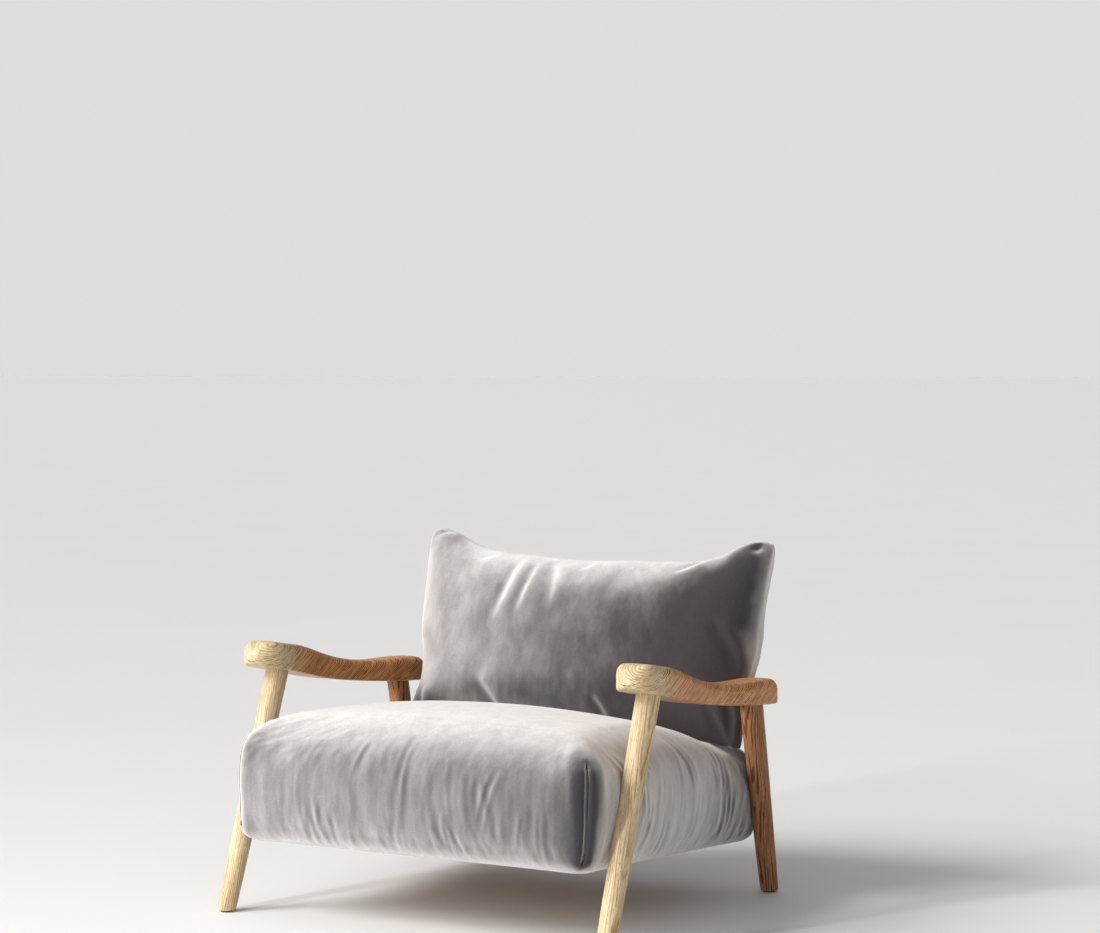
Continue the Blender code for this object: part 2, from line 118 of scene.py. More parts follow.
class SeatSettings(bpy.types.PropertyGroup):
    tilt: Angle(name="Tilt", description="Fall of the seat towards the back", default=math.radians(3.6))
    side_height: Length(name="Side height", description="Height of the cover's sides", default=0.252)
    crown: Length(name="Crown", description="Rise of the middle", default=0.032)
    rear_dip: Length(name="Rear dip", description="How far it sinks under the back cushion", default=0.043)
    corner_radius: Length(name="Corner radius", description="Rounding of the corners in plan", default=0.030)
    bulge: Length(name="Bulge", description="Bulge of the sides", default=0.012)
    cell: Length(name="Mesh size", description="Size of the cover's faces", default=0.0062)
    pressure: FloatProperty(name="Pressure", description="Pressure that fills the cover", default=3.0, min=0)
    slack: Share(name="Slack", description="Spare cloth in the cover", default=0.012)
    fold_depth: Length(name="Fold depth", description="Depth of the upright folds", default=0.0006)
    fold_seed: IntProperty(name="Fold pattern", description="Picks another pattern of folds", default=7)


class BackCushionSettings(bpy.types.PropertyGroup):
    rake: Angle(name="Rake", description="How far the cushion leans back", default=math.atan(0.27))
    yaw: Angle(name="Turn", description="How far its right end lies back", default=math.radians(2.4))
    front_depth: Length(name="Front depth", description="Depth in front of the seam", default=0.112)
    rear_depth: Length(name="Rear depth", description="Depth behind the seam", default=0.088)
    cell: Length(name="Mesh size", description="Size of the cover's faces", default=0.0056)
    pressure: FloatProperty(name="Pressure", description="Pressure that fills the cover", default=4.0, min=0)
    slack: Share(name="Slack", description="Spare cloth in the cover", default=0.02)
    crease_height: Length(name="Crease height", description="Height of the drawn creases", default=0.0040)


class StageSettings(bpy.types.PropertyGroup):
    floor: Colour(name="Floor", description="Colour of the floor", default=(0.86, 0.86, 0.86))
    backdrop: Colour(name="Backdrop", description="Colour behind all", default=(0.725, 0.725, 0.725))
    surround: Colour(name="Surround", description="Colour of the soft light", default=(0.89, 0.885, 0.90))
    surround_strength: FloatProperty(name="Strength", description="Strength of the soft light", default=0.365)
    key_strength: FloatProperty(name="Key light", description="Strength of the broad key light", default=2.6)
    strip_power: FloatProperty(
        name="Strip light", description="Power of the light that draws the gloss", unit="POWER", default=95
    )


class ArmchairSettings(bpy.types.PropertyGroup):
    oak: PointerProperty(type=OakSettings, name="Oak", description="Finish of the wood")
    velvet: PointerProperty(type=VelvetSettings, name="Velvet", description="Finish of the covers")
    side_frame: PointerProperty(type=SideFrameSettings, name="Side frames", description="Arms and legs")
    seat: PointerProperty(type=SeatSettings, name="Seat", description="The upholstered seat")
    back: PointerProperty(type=BackCushionSettings, name="Back cushion", description="The loose cushion")
    stage: PointerProperty(type=StageSettings, name="Stage", description="Floor, light and camera")


# ------------------------------------------------------------
# Reading the frame and its meshes


def read(items, field, width=3, kind=np.float32):
    """So many numbers for each item of one of a mesh's collections."""
    values = np.zeros(len(items) * width, kind)
    items.foreach_get(field, values)
    return values.reshape(-1, width)


def surface_of(mesh):
    """A tree for rays against a mesh."""
    return BVHTree.FromPolygons([v.co[:] for v in mesh.vertices], [p.vertices[:] for p in mesh.polygons])


def hit(surface, origin, direction):
    place = surface.ray_cast(Vector(origin), Vector(direction))[0]
    if place is None:
        raise RuntimeError(f"a ray from {tuple(origin)} misses the surface")
    return place


def node_points(node):
    """The separate corner points of a CAD node."""
    return np.unique(read(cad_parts[node].data.vertices, "co").round(5), axis=0).astype(float)


def level_rings(points, axis, least):
    """Groups points that share a coordinate, in order, where a group has at least so many of them."""
    values, counts = np.unique(points[:, axis].round(4), return_counts=True)
    return [points[np.abs(points[:, axis] - v) < 1e-4] for v in values[counts >= least]]


def lie_of(node):
    """A straight bar's centre, its sizes (second, third and longest) and the turn that lays Z along it."""
    points = node_points(node)
    _, _, axes = np.linalg.svd(points - points.mean(0), full_matrices=False)
    axes = axes[[1, 2, 0]]
    for k in (2, 0):
        if axes[k] @ (1, 1, 1) < 0:
            axes[k] *= -1
    axes[1] = np.cross(axes[2], axes[0])
    along = points @ axes.T
    low, high = along.min(0), along.max(0)
    return ((low + high) / 2) @ axes, high - low, Matrix(axes.T.tolist()).to_euler()


# ------------------------------------------------------------
# Making meshes


def put_in_scene(name, data):
    thing = bpy.data.objects.new(name, data)
    bpy.context.scene.collection.objects.link(thing)
    return thing


def write(mesh, name, values):
    """Stores a number or a vector for each point of a mesh."""
    values = np.asarray(values, np.float32)
    kind, field = ("FLOAT_VECTOR", "vector") if values.ndim == 2 else ("FLOAT", "value")
    mesh.attributes.new(name, kind, "POINT").data.foreach_set(field, values.ravel())


def face_outwards(mesh, close=False):
    """Turns the faces of a closed mesh outwards, after filling the one opening of a cover where asked."""
    shape = bmesh.new()
    shape.from_mesh(mesh)
    if close:
        bmesh.ops.contextual_create(shape, geom=[edge for edge in shape.edges if edge.is_boundary])
    bmesh.ops.recalc_face_normals(shape, faces=shape.faces)
    shape.to_mesh(mesh)
    shape.free()


def stand_for(piece, nodes):
    """Turns a piece's faces outwards and puts it in the place of CAD nodes."""
    face_outwards(piece.data)
    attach(piece, "root")
    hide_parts(*nodes)
    return piece


def make_piece(name, points, faces, material, nodes):
    """A smooth-shaded mesh that stands for CAD nodes."""
    mesh = bpy.data.meshes.new(name)
    mesh.from_pydata(np.asarray(points).tolist(), [], faces)
    mesh.materials.append(material)
    mesh.shade_smooth()
    return stand_for(put_in_scene(name, mesh), nodes)


def grid_faces(numbers, turned=False):
    """Faces between the rows and columns of a table of point numbers."""
    first, second = numbers[:-1, :-1], numbers[:-1, 1:]
    third, fourth = numbers[1:, 1:], numbers[1:, :-1]
    order = (first, fourth, third, second) if turned else (first, second, third, fourth)
    return np.stack(order, axis=-1).reshape(-1, 4)


def closed_rows(rows, count):
    """A table of point numbers for rings of points, with the first column again at its end."""
    numbers = np.arange(rows * count).reshape(rows, count)
    return np.column_stack([numbers, numbers[:, 0]])


def make_bar(node, rings, grain, material):
    """A wooden piece through closed rings, capped by fans, with the grain given for each of their points."""
    rings, grain = np.asarray(rings), np.asarray(grain)
    rows, count = rings.shape[:2]
    points, grain = (
        np.concatenate([values.reshape(-1, 3), values[[0, -1]].mean(1)]) for values in (rings, grain)
    )
    numbers = closed_rows(rows, count)
    faces = grid_faces(numbers).tolist()
    first, last = numbers[0].tolist(), numbers[-1].tolist()
    for i in range(count):
        faces.append((rows * count, first[i + 1], first[i]))
        faces.append((rows * count + 1, last[i], last[i + 1]))
    piece = make_piece(node + "_wood", points, faces, material, [node])
    write(piece.data, GRAIN, grain)
    return piece


def through(rows, steps=5):
    """A smooth curve through the rows of an array, with so many new rows for each old one."""
    rows = np.asarray(rows, float)
    padded = np.concatenate([[2 * rows[0] - rows[1]], rows, [2 * rows[-1] - rows[-2]]])
    t = (np.arange(steps) / steps)[:, None]
    pieces = [
        0.5 * (2 * b + (c - a) * t + (2 * a - 5 * b + 4 * c - d) * t**2 + (3 * b - a - 3 * c + d) * t**3)
        for a, b, c, d in zip(padded, padded[1:], padded[2:], padded[3:])
    ]
    return np.concatenate([*pieces, rows[-1:]])


def smooth_step(t):
    t = np.clip(t, 0.0, 1.0)
    return t * t * (3 - 2 * t)


def bell(distance, width):
    return np.exp(-((distance / width) ** 2))


def rounded_section(half_width, under, top, under_radius, top_radius, crown=0.0):
    """X and Z round an upright section, from the middle of its underside, with rounded edges."""
    room = min(half_width, (top - under) / 2) * 0.96
    low, high = min(under_radius, room), min(top_radius, room)
    turn = np.linspace(0, QUARTER, 7)
    flat = np.linspace(0, 1, 5)[:-1]
    half_x = [
        flat * (half_width - low),
        half_width - low + low * np.sin(turn),
        np.full(3, half_width),
        half_width - high + high * np.cos(turn),
        (half_width - high) * (1 - flat[1:]),
    ]
    half_z = [
        np.full(4, under),
        under + low - low * np.cos(turn),
        under + low + (top - high - under - low) * flat[1:],
        top - high + high * np.sin(turn),
        np.full(3, top),
    ]
    x, z = np.concatenate(half_x), np.concatenate(half_z)
    z = np.where(z > (under + top) / 2, z - crown * (x / half_width) ** 2, z)
    return np.concatenate([x, [0.0], -x[:0:-1]]), np.concatenate([z, [top], z[:0:-1]])


# ------------------------------------------------------------
# Node trees


def set_input(tree, socket, value):
    """Links a socket to an input, or sets the input's value."""
    if isinstance(value, bpy.types.NodeSocket):
        tree.links.new(value, socket)
    else:
        socket.default_value = value


def add_node(tree, kind, inputs=None, **settings):
    """Adds a node, sets its fields, and sets or links its inputs."""
    node = tree.nodes.new(kind)
    for field, value in settings.items():
        setattr(node, field, value)
    for socket, value in (inputs or {}).items():
        set_input(tree, node.inputs[socket], value)
    return node


def calculate(tree, operation, *values):
    return add_node(tree, "ShaderNodeMath", dict(enumerate(values)), operation=operation).outputs[0]


def plus(tree, first, second):
    return calculate(tree, "ADD", first, second)


def minus(tree, first, second):
    return calculate(tree, "SUBTRACT", first, second)


def times(tree, first, second):
    return calculate(tree, "MULTIPLY", first, second)


def calculate_vector(tree, operation, *values):
    return add_node(tree, "ShaderNodeVectorMath", dict(enumerate(values)), operation=operation).outputs[0]


def stretched_noise(tree, vector, scale, detail=2.0, roughness=0.5, output="Fac"):
    """Noise whose features are 1 / scale long, in all directions or in each."""
    scale = scale if isinstance(scale, tuple) else (scale,) * 3
    mapped = add_node(tree, "ShaderNodeMapping", {"Vector": vector, "Scale": scale}).outputs[0]
    inputs = {"Vector": mapped, "Scale": 1.0, "Detail": detail, "Roughness": roughness}
    return add_node(tree, "ShaderNodeTexNoise", inputs).outputs[output]


def spread(tree, value, low, high, to_low=0.0, to_high=1.0):
    inputs = {"Value": value, "From Min": low, "From Max": high, "To Min": to_low, "To Max": to_high}
    return add_node(tree, "ShaderNodeMapRange", inputs, interpolation_type="SMOOTHSTEP").outputs[0]


def mix_colour(tree, share, first, second, blend="MIX"):
    """Goes from the first colour to the second, or blends the second over the first."""
    first, second = (c if isinstance(c, bpy.types.NodeSocket) else (*c, 1.0) for c in (first, second))
    inputs = {0: share, 6: first, 7: second}
    return add_node(tree, "ShaderNodeMix", inputs, data_type="RGBA", blend_type=blend).outputs[2]


# ------------------------------------------------------------
# Materials


def new_material(name):
    """A material, its tree and the coordinates of the piece that wears it."""
    material = bpy.data.materials.new(name)
    material.use_nodes = True
    tree = material.node_tree
    return material, tree, add_node(tree, "ShaderNodeTexCoord").outputs["Object"]


def dress(tree, inputs, height=None, strength=0.2, depth=0.0002):
    """Sets the shader's inputs, and gives it a bump where there is a height."""
    shader = tree.nodes["Principled BSDF"]
    for socket, value in inputs.items():
        set_input(tree, shader.inputs[socket], value)
    if height is not None:
        bump = add_node(tree, "ShaderNodeBump", {"Height": height, "Strength": strength, "Distance": depth})
        tree.links.new(bump.outputs[0], shader.inputs["Normal"])


def oak_material(settings, name="leg_oak"):
    """Oiled oak: growth lines, fibre streaks and open pores, laid along the grain attribute, with painted
    light making the chair's front pale and painted shade making its back brown and darker.
    """
    if name in bpy.data.materials:
        return bpy.data.materials[name]
    turn, back_shade_tint = OAKS[name]
    material, tree, place = new_material(name)
    grain = add_node(tree, "ShaderNodeAttribute", attribute_name=GRAIN).outputs["Vector"]
    wander = stretched_noise(tree, grain, (22, 22, 5), output="Color")
    wander = calculate_vector(tree, "SUBTRACT", wander, (0.5, 0.5, 0.5))
    laid = calculate_vector(tree, "MULTIPLY_ADD", wander, (0.018, 0.018, 0.018), grain)
    lines = 1 / settings.line_spacing
    patchy = stretched_noise(tree, laid, (lines * 0.55, lines, lines * 0.05), 2.0, 0.45)
    across = add_node(tree, "ShaderNodeSeparateXYZ", {"Vector": laid}).outputs
    ring = plus(tree, across["Y"], times(tree, across["X"], 0.45))
    ring = calculate(tree, "SINE", times(tree, ring, 2 * math.pi * lines))
    growth = plus(tree, times(tree, ring, 0.17), patchy)
    streaks = stretched_noise(tree, laid, (900, 900, 22), 3.0, 0.6)
    pores = stretched_noise(tree, laid, (1500, 1500, 90), 1.0)
    figure = stretched_noise(tree, laid, (60, 60, 12), 3.0, 0.6)
    flecks = stretched_noise(tree, grain, (120, 120, 55), 1.0)

    back = add_node(tree, "ShaderNodeSeparateXYZ", {"Vector": place}).outputs["Y"]
    # Painted light and shade: pale where the chair's front is lit, turning brown towards the back, which lies
    # in shade; the noise makes the turn uneven.
    uneven = times(tree, minus(tree, patchy, 0.5), 0.16)
    front_lit_to_back_shaded = spread(tree, plus(tree, back, uneven), *turn)
    late = times(tree, spread(tree, growth, 0.50, 0.66), spread(tree, front_lit_to_back_shaded, 0.0, 1.0, 0.60, 0.88))
    late = calculate(tree, "MAXIMUM", late, times(tree, spread(tree, figure, 0.38, 0.75), 0.42))
    early_colour = mix_colour(tree, front_lit_to_back_shaded, settings.sapwood, settings.heartwood)
    line_colour = mix_colour(tree, front_lit_to_back_shaded, settings.sapwood_line, settings.heartwood_line)
    base = mix_colour(tree, late, early_colour, line_colour)
    # Painted shade: darker still towards the back of the chair.
    shade = mix_colour(tree, spread(tree, back, 0.05, 0.25), (1.0, 1.0, 1.0), back_shade_tint)
    base = mix_colour(tree, 1.0, base, shade, "MULTIPLY")
    fibre = mix_colour(tree, spread(tree, streaks, 0.35, 0.72), (1.12, 1.10, 1.06), (0.70, 0.64, 0.56))
    base = mix_colour(tree, 0.8, base, fibre, "MULTIPLY")
    pore = spread(tree, pores, 0.60, 0.70)
    base = mix_colour(tree, times(tree, pore, 0.55), base, (0.13, 0.06, 0.025))
    fleck = times(tree, spread(tree, flecks, 0.68, 0.78), 0.3)
    base = mix_colour(tree, fleck, base, (0.24, 0.09, 0.035))
    looks = {
        "Base Color": base,
        "Roughness": spread(tree, streaks, 0.3, 0.8, settings.roughness - 0.05, settings.roughness + 0.12),
        "Specular IOR Level": 0.10,
        "Coat Weight": 0.22,
        "Coat Roughness": 0.15,
    }
    height = minus(tree, minus(tree, times(tree, streaks, 0.35), pore), times(tree, late, 0.5))
    dress(tree, looks, height, depth=0.0004)
    return material


def velvet_material(settings, name="grey_velvet"):
    """Short-pile velvet: dark looking into the pile, pale along it, with brushed patches, a fine bump of the
    pile, and the covers' painted light and shade read from an attribute.
    """
    if name in bpy.data.materials:
        return bpy.data.materials[name]
    material, tree, place = new_material(name)
    pile = stretched_noise(tree, place, 1600, 2.0, 0.7)
    brushed = stretched_noise(tree, place, (42, 42, 13), 4.0, 0.62)
    lint = stretched_noise(tree, place, 330, 3.0, 0.7)
    edge = add_node(tree, "ShaderNodeLayerWeight", {"Blend": 0.5}).outputs["Facing"]
    # The covers' painted light and shade, with random brushed patches on the back cushion.
    nap = add_node(tree, "ShaderNodeAttribute", attribute_name=NAP_AND_PAINTED_LIGHT).outputs["Fac"]
    lean = times(tree, minus(tree, brushed, 0.5), settings.nap)
    glow = spread(tree, plus(tree, plus(tree, edge, nap), lean), -0.04, 0.92)
    base = mix_colour(tree, glow, settings.deep, settings.bloom)
    patch = spread(tree, brushed, 0.3, 0.7, 0.95, 1.05)
    dust = times(tree, patch, spread(tree, lint, 0.3, 0.7, 0.92, 1.08))
    grey = add_node(tree, "ShaderNodeCombineColor", {0: dust, 1: dust, 2: dust}).outputs[0]
    looks = {
        "Base Color": mix_colour(tree, 1.0, base, grey, "MULTIPLY"),
        "Roughness": 0.92,
        "Specular IOR Level": 0.15,
        "Sheen Weight": settings.sheen,
        "Sheen Roughness": 0.42,
        "Sheen Tint": (0.96, 0.94, 0.93, 1.0),
    }
    dress(tree, looks, plus(tree, pile, times(tree, lint, 1.5)), strength=0.22, depth=0.0006)
    return material


def steel_material():
    """Zinc-plated steel with a faint spangle."""
    material, tree, place = new_material("zinc_steel")
    spangle = stretched_noise(tree, place, 400, 3.0)
    base = mix_colour(tree, spangle, (0.46, 0.47, 0.49), (0.66, 0.66, 0.67))
    rough = spread(tree, spangle, 0.2, 0.8, 0.28, 0.48)
    dress(tree, {"Base Color": base, "Roughness": rough, "Metallic": 1.0})
    return material


def nylon_material():
    """Dark moulded nylon, scuffed by the floor."""
    material, tree, place = new_material("dark_nylon")
    scuff = stretched_noise(tree, place, 900, 3.0)
    base = mix_colour(tree, scuff, (0.035, 0.034, 0.033), (0.09, 0.088, 0.085))
    rough = spread(tree, scuff, 0.3, 0.7, 0.45, 0.65)
    dress(tree, {"Base Color": base, "Roughness": rough}, scuff)
    return material


def floor_material(settings):
    """A plain matt floor."""
    material, tree, place = new_material("plain_floor")
    worn = [0.97 * c for c in settings.floor]
    base = mix_colour(tree, stretched_noise(tree, place, 1.5), settings.floor, worn)
    dress(tree, {"Base Color": base, "Roughness": 0.6})
    return material


# ------------------------------------------------------------
# Repeated parts, by Geometry Nodes


def start_tree(name, sockets):
    """A geometry tree whose inputs have names, each with its default or, where it has none, its kind."""
    tree = bpy.data.node_groups.new(name, "GeometryNodeTree")
    tree.interface.new_socket("Geometry", in_out="INPUT", socket_type="NodeSocketGeometry")
    for label, default in sockets.items():
        kind = default if isinstance(default, str) else type(default).__name__.title()
        socket = tree.interface.new_socket(label, in_out="INPUT", socket_type="NodeSocket" + kind)
        if default != kind:
            socket.default_value = default
    tree.interface.new_socket("Geometry", in_out="OUTPUT", socket_type="NodeSocketGeometry")
    return tree, tree.nodes.new("NodeGroupInput").outputs


def end_tree(tree, given, shape):
    """Ends a tree with its material."""
    inputs = {"Geometry": shape, "Material": given["Material"]}
    finished = add_node(tree, "GeometryNodeSetMaterial", inputs).outputs[0]
    add_node(tree, "NodeGroupOutput", {"Geometry": finished})
    return tree


def realize(tree, shape):
    return add_node(tree, "GeometryNodeRealizeInstances", {"Geometry": shape}).outputs[0]


def store(tree, shape, name, value, kind="FLOAT_VECTOR", domain="POINT"):
    inputs = {"Geometry": shape, "Name": name, "Value": value}
    return add_node(tree, "GeometryNodeStoreNamedAttribute", inputs, data_type=kind, domain=domain).outputs[0]


def recall(tree, name, kind="FLOAT_VECTOR"):
    node = add_node(tree, "GeometryNodeInputNamedAttribute", {"Name": name}, data_type=kind)
    return node.outputs["Attribute"]


def copies_on_points(tree, given, shape):
    """The shape on every point, each copy with grain of its own."""
    marked = store(tree, shape, GRAIN, add_node(tree, "GeometryNodeInputPosition").outputs[0])
    inputs = {"Points": given["Geometry"], "Instance": marked, "Rotation": given["Turn"]}
    copies = add_node(tree, "GeometryNodeInstanceOnPoints", inputs).outputs[0]
    index = add_node(tree, "GeometryNodeInputIndex").outputs[0]
    real = realize(tree, store(tree, copies, "copy", index, "FLOAT", "INSTANCE"))
    shift = (0.11, 0.07, 0.43)  # in the grain, from one copy to the next
    moved = calculate_vector(tree, "MULTIPLY_ADD", recall(tree, "copy", "FLOAT"), shift, recall(tree, GRAIN))
    return store(tree, real, GRAIN, moved)


def middle_line(tree, length, points):
    """A straight curve along Z, centred, resampled to so many points."""
    ends = [times(tree, length, share) for share in (-0.5, 0.5)]
    start, end = (add_node(tree, "ShaderNodeCombineXYZ", {"Z": z}).outputs[0] for z in ends)
    line = add_node(tree, "GeometryNodeCurvePrimitiveLine", {"Start": start, "End": end}).outputs[0]
    return add_node(tree, "GeometryNodeResampleCurve", {"Curve": line, "Count": points}).outputs[0]


def circle(tree, sides, radius):
    inputs = {"Resolution": sides, "Radius": radius}
    return add_node(tree, "GeometryNodeCurvePrimitiveCircle", inputs).outputs[0]


def swept(tree, line, outline, scale=1.0):
    """The outline carried along the line, with closed ends."""
    inputs = {"Curve": line, "Profile Curve": outline, "Scale": scale, "Fill Caps": True}
    return add_node(tree, "GeometryNodeCurveToMesh", inputs).outputs[0]


def turned_rods():
    """A tree for turned rods: a round bar on every point, fuller in the middle and eased at both ends."""
    sizes = {"Length": 0.2, "Radius": 0.007, "Belly": 0.1, "Sides": 24, "Ease": 1.2}
    tree, given = start_tree("turned_rods", {**sizes, "Turn": "Rotation", "Material": "Material"})
    end_share = 0.86  # of the radius, at the very ends
    along = add_node(tree, "GeometryNodeSplineParameter").outputs["Factor"]
    mound = times(tree, times(tree, along, minus(tree, 1.0, along)), 4.0)
    full = plus(tree, 1.0, times(tree, mound, given["Belly"]))
    eased = calculate(tree, "MINIMUM", plus(tree, times(tree, mound, given["Ease"]), end_share), 1.0)
    radius = times(tree, times(tree, full, eased), given["Radius"])
    rod = swept(tree, middle_line(tree, given["Length"], 41), circle(tree, given["Sides"], 1.0), radius)
    return end_tree(tree, given, copies_on_points(tree, given, rod))


def planed_boards():
    """A tree for planed boards: a bar of rounded rectangular section on every point."""
    sizes = {"Length": 0.6, "Width": 0.045, "Thickness": 0.012, "Edge": 0.003}
    tree, given = start_tree("planed_boards", {**sizes, "Turn": "Rotation", "Material": "Material"})
    inputs = {"Width": given["Width"], "Height": given["Thickness"]}
    outline = add_node(tree, "GeometryNodeCurvePrimitiveQuadrilateral", inputs).outputs[0]
    inputs = {"Curve": outline, "Radius": given["Edge"], "Count": 5}
    rounded = add_node(tree, "GeometryNodeFilletCurve", inputs, mode="POLY").outputs[0]
    board = swept(tree, middle_line(tree, given["Length"], 9), rounded)
    return end_tree(tree, given, copies_on_points(tree, given, board))


def welts():
    """A tree for welts: a thin round cord along every line of the mesh."""
    tree, given = start_tree("welts", {"Radius": 0.0013, "Sides": 10, "Material": "Material"})
    line = add_node(tree, "GeometryNodeMeshToCurve", {"Mesh": given["Geometry"]}).outputs[0]
    cord = swept(tree, line, circle(tree, given["Sides"], given["Radius"]))
    return end_tree(tree, given, realize(tree, cord))


def make_by_tree(name, build, places, values, nodes, edges=()):
    """Runs a tree on a mesh of points and keeps the result as one plain mesh that stands for the nodes."""
    source = bpy.data.meshes.new(name)
    source.from_pydata([tuple(p) for p in places], list(edges), [])
    piece = put_in_scene(name, source)
    modifier = piece.modifiers.new(name, "NODES")
    modifier.node_group = bpy.data.node_groups.get(build.__name__) or build()
    for item in modifier.node_group.interface.items_tree:
        if item.item_type == "SOCKET" and item.in_out == "INPUT" and item.name in values:
            modifier[item.identifier] = values[item.name]
    made = bpy.data.meshes.new_from_object(piece.evaluated_get(bpy.context.evaluated_depsgraph_get()))
    piece.modifiers.remove(modifier)
    piece.data = made
    made.shade_smooth()
    made.set_sharp_from_angle(angle=math.radians(40))
    return stand_for(piece, nodes)


def make_bars(name, build, nodes, slot="oak", **values):
    """Straight oak bars of one size and direction, in the places of their CAD nodes."""
    lies = [lie_of(node) for node in nodes]
    _, size, turn = lies[0]
    width, thickness, length = size.tolist()
    values |= {"Length": length, "Width": width, "Thickness": thickness, "Radius": width / 2, "Turn": turn}
    values["Material"] = oak_material(bpy.context.scene.armchair.oak)
    return make_by_tree(name, build, [lie[0] for lie in lies], values, nodes)


# ------------------------------------------------------------
# Side frames

ARM_CROWN = 0.002  # rise of the arm's upper side in its middle
LEG_SIDES = 56
LET_IN = 0.0012  # depth by which a leg is let into its arm


def make_arm(side, settings, material):
    """A paddle-shaped arm lofted finely through the frame's sections."""
    node = "arm_" + side
    low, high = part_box(node)
    middle = (low.x + high.x) / 2
    rows = through(
        [
            (ring[:, 1].mean(), ring[:, 2].min(), ring[:, 2].max(), np.abs(ring[:, 0] - middle).max())
            for ring in level_rings(node_points(node), 1, 10)
        ]
    )
    sections = []
    for y, under, top, half_width in rows:
        radii = settings.arm_under_radius, settings.arm_top_radius
        x, z = rounded_section(half_width, under, top, *radii, ARM_CROWN)
        sections.append(np.stack([middle + x, np.full_like(x, y), z], axis=1))
    rings = np.array(sections)
    x, y, z = rings[..., 0], rings[..., 1], rings[..., 2]
    sine, cosine = math.sin(settings.grain_angle), math.cos(settings.grain_angle)
    grain = np.stack([x + 0.35 * z, z * cosine - y * sine + 0.12 * x, y * cosine + z * sine], axis=-1)
    make_bar(node, rings, grain, material)


def leg_profile(node, foot_radius):
    """The leg's height, axis and radius in many rows, with its lower edge rounded."""
    rows = [
        (ring[:, 2].mean(), *((ring.min(0) + ring.max(0)) / 2)[:2], np.ptp(ring[:, 0]) / 2)
        for ring in level_rings(node_points(node), 2, 12)
    ]
    (foot, x, y, _), rows = rows[0], through(rows[1:])
    edge = [
        (foot + foot_radius * (1 - math.cos(a)), x, y, rows[0][3] - foot_radius * (1 - math.sin(a)))
        for a in np.linspace(0, QUARTER, 6)[:-1]
    ]
    return np.concatenate([edge, rows[1:]])


def meet_arm(arm, last, slope, direction):
    """The point where one line of a leg's side, going on past its last row, is let into the arm."""
    z = last[0] + 0.03
    for _ in range(6):
        row = last[1:] + slope * (z - last[0])
        x, y = row[:2] + row[2] * direction
        z = hit(arm, (x, y, 0.0), (0, 0, 1)).z + LET_IN
    return x, y, z


def make_leg(node, settings, material):
    """A turned leg whose top is let a little way into the arm."""
    rows = leg_profile(node, settings.foot_radius)
    arm = surface_of(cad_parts["arm_" + node.split("_")[-1]].data)
    angles = np.linspace(0, 2 * math.pi, LEG_SIDES, endpoint=False)
    around = np.stack([np.cos(angles), np.sin(angles)], axis=1)
    rings = [np.column_stack([row[1:3] + row[3] * around, np.full(LEG_SIDES, row[0])]) for row in rows]
    last, before = rows[-1], rows[-6]
    slope = (last[1:] - before[1:]) / (last[0] - before[0])
    top = np.array([meet_arm(arm, last, slope, direction) for direction in around])
    rings += [rings[-1] + (top - rings[-1]) * share for share in (0.34, 0.67, 1.0)]
    rings = np.array(rings)

    number = LEG_NAMES.index(node)  # each leg shows another side and another stretch of its wood
    sine, cosine = math.sin(0.9 + 0.7 * number), math.cos(0.9 + 0.7 * number)
    x, y = np.moveaxis(rings[..., :2] - rings.mean(1, keepdims=True)[..., :2], -1, 0)
    across = np.stack([x * cosine - y * sine, x * sine + y * cosine], axis=-1)
    lean = rings[..., 2:] * np.array([0.012, 0.03])
    along = rings[..., 2:] * 1.05 + number * 0.7
    grain = np.concatenate([across + lean + number * 0.13, along], axis=-1)
    piece = make_bar(node, rings, grain, material)
    piece.data.set_sharp_from_angle(angle=math.radians(50))


class ARMCHAIR_OT_arms(bpy.types.Operator):
    """Make both arms"""

    bl_idname = "armchair.arms"
    bl_label = "Arms"

    def execute(self, context):
        settings = context.scene.armchair
        for side in SIDES:
            make_arm(side, settings.side_frame, oak_material(settings.oak, "arm_oak"))
        return {"FINISHED"}


class ARMCHAIR_OT_legs(bpy.types.Operator):
    """Make the four legs, with the glides under them and the bolts beside them"""

    bl_idname = "armchair.legs"
    bl_label = "Legs and fittings"

    def execute(self, context):
        settings = context.scene.armchair
        for node in LEG_NAMES:
            make_leg(node, settings.side_frame, oak_material(settings.oak))
        for start, material in (("bolt_", steel_material()), ("glide_", nylon_material())):
            for name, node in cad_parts.items():
                if name.startswith(start):
                    node.data.materials.clear()
                    node.data.materials.append(material)
        return {"FINISHED"}


# ------------------------------------------------------------
# Seat frame and back frame

STILE_EDGE = 0.006
# Rows that round a stile's end: how far past its first full row, and what share of the full size.
STILE_ENDS = ((-STILE_EDGE, 0.80), (-0.7 * STILE_EDGE, 0.93), (-0.2 * STILE_EDGE, 1.0))


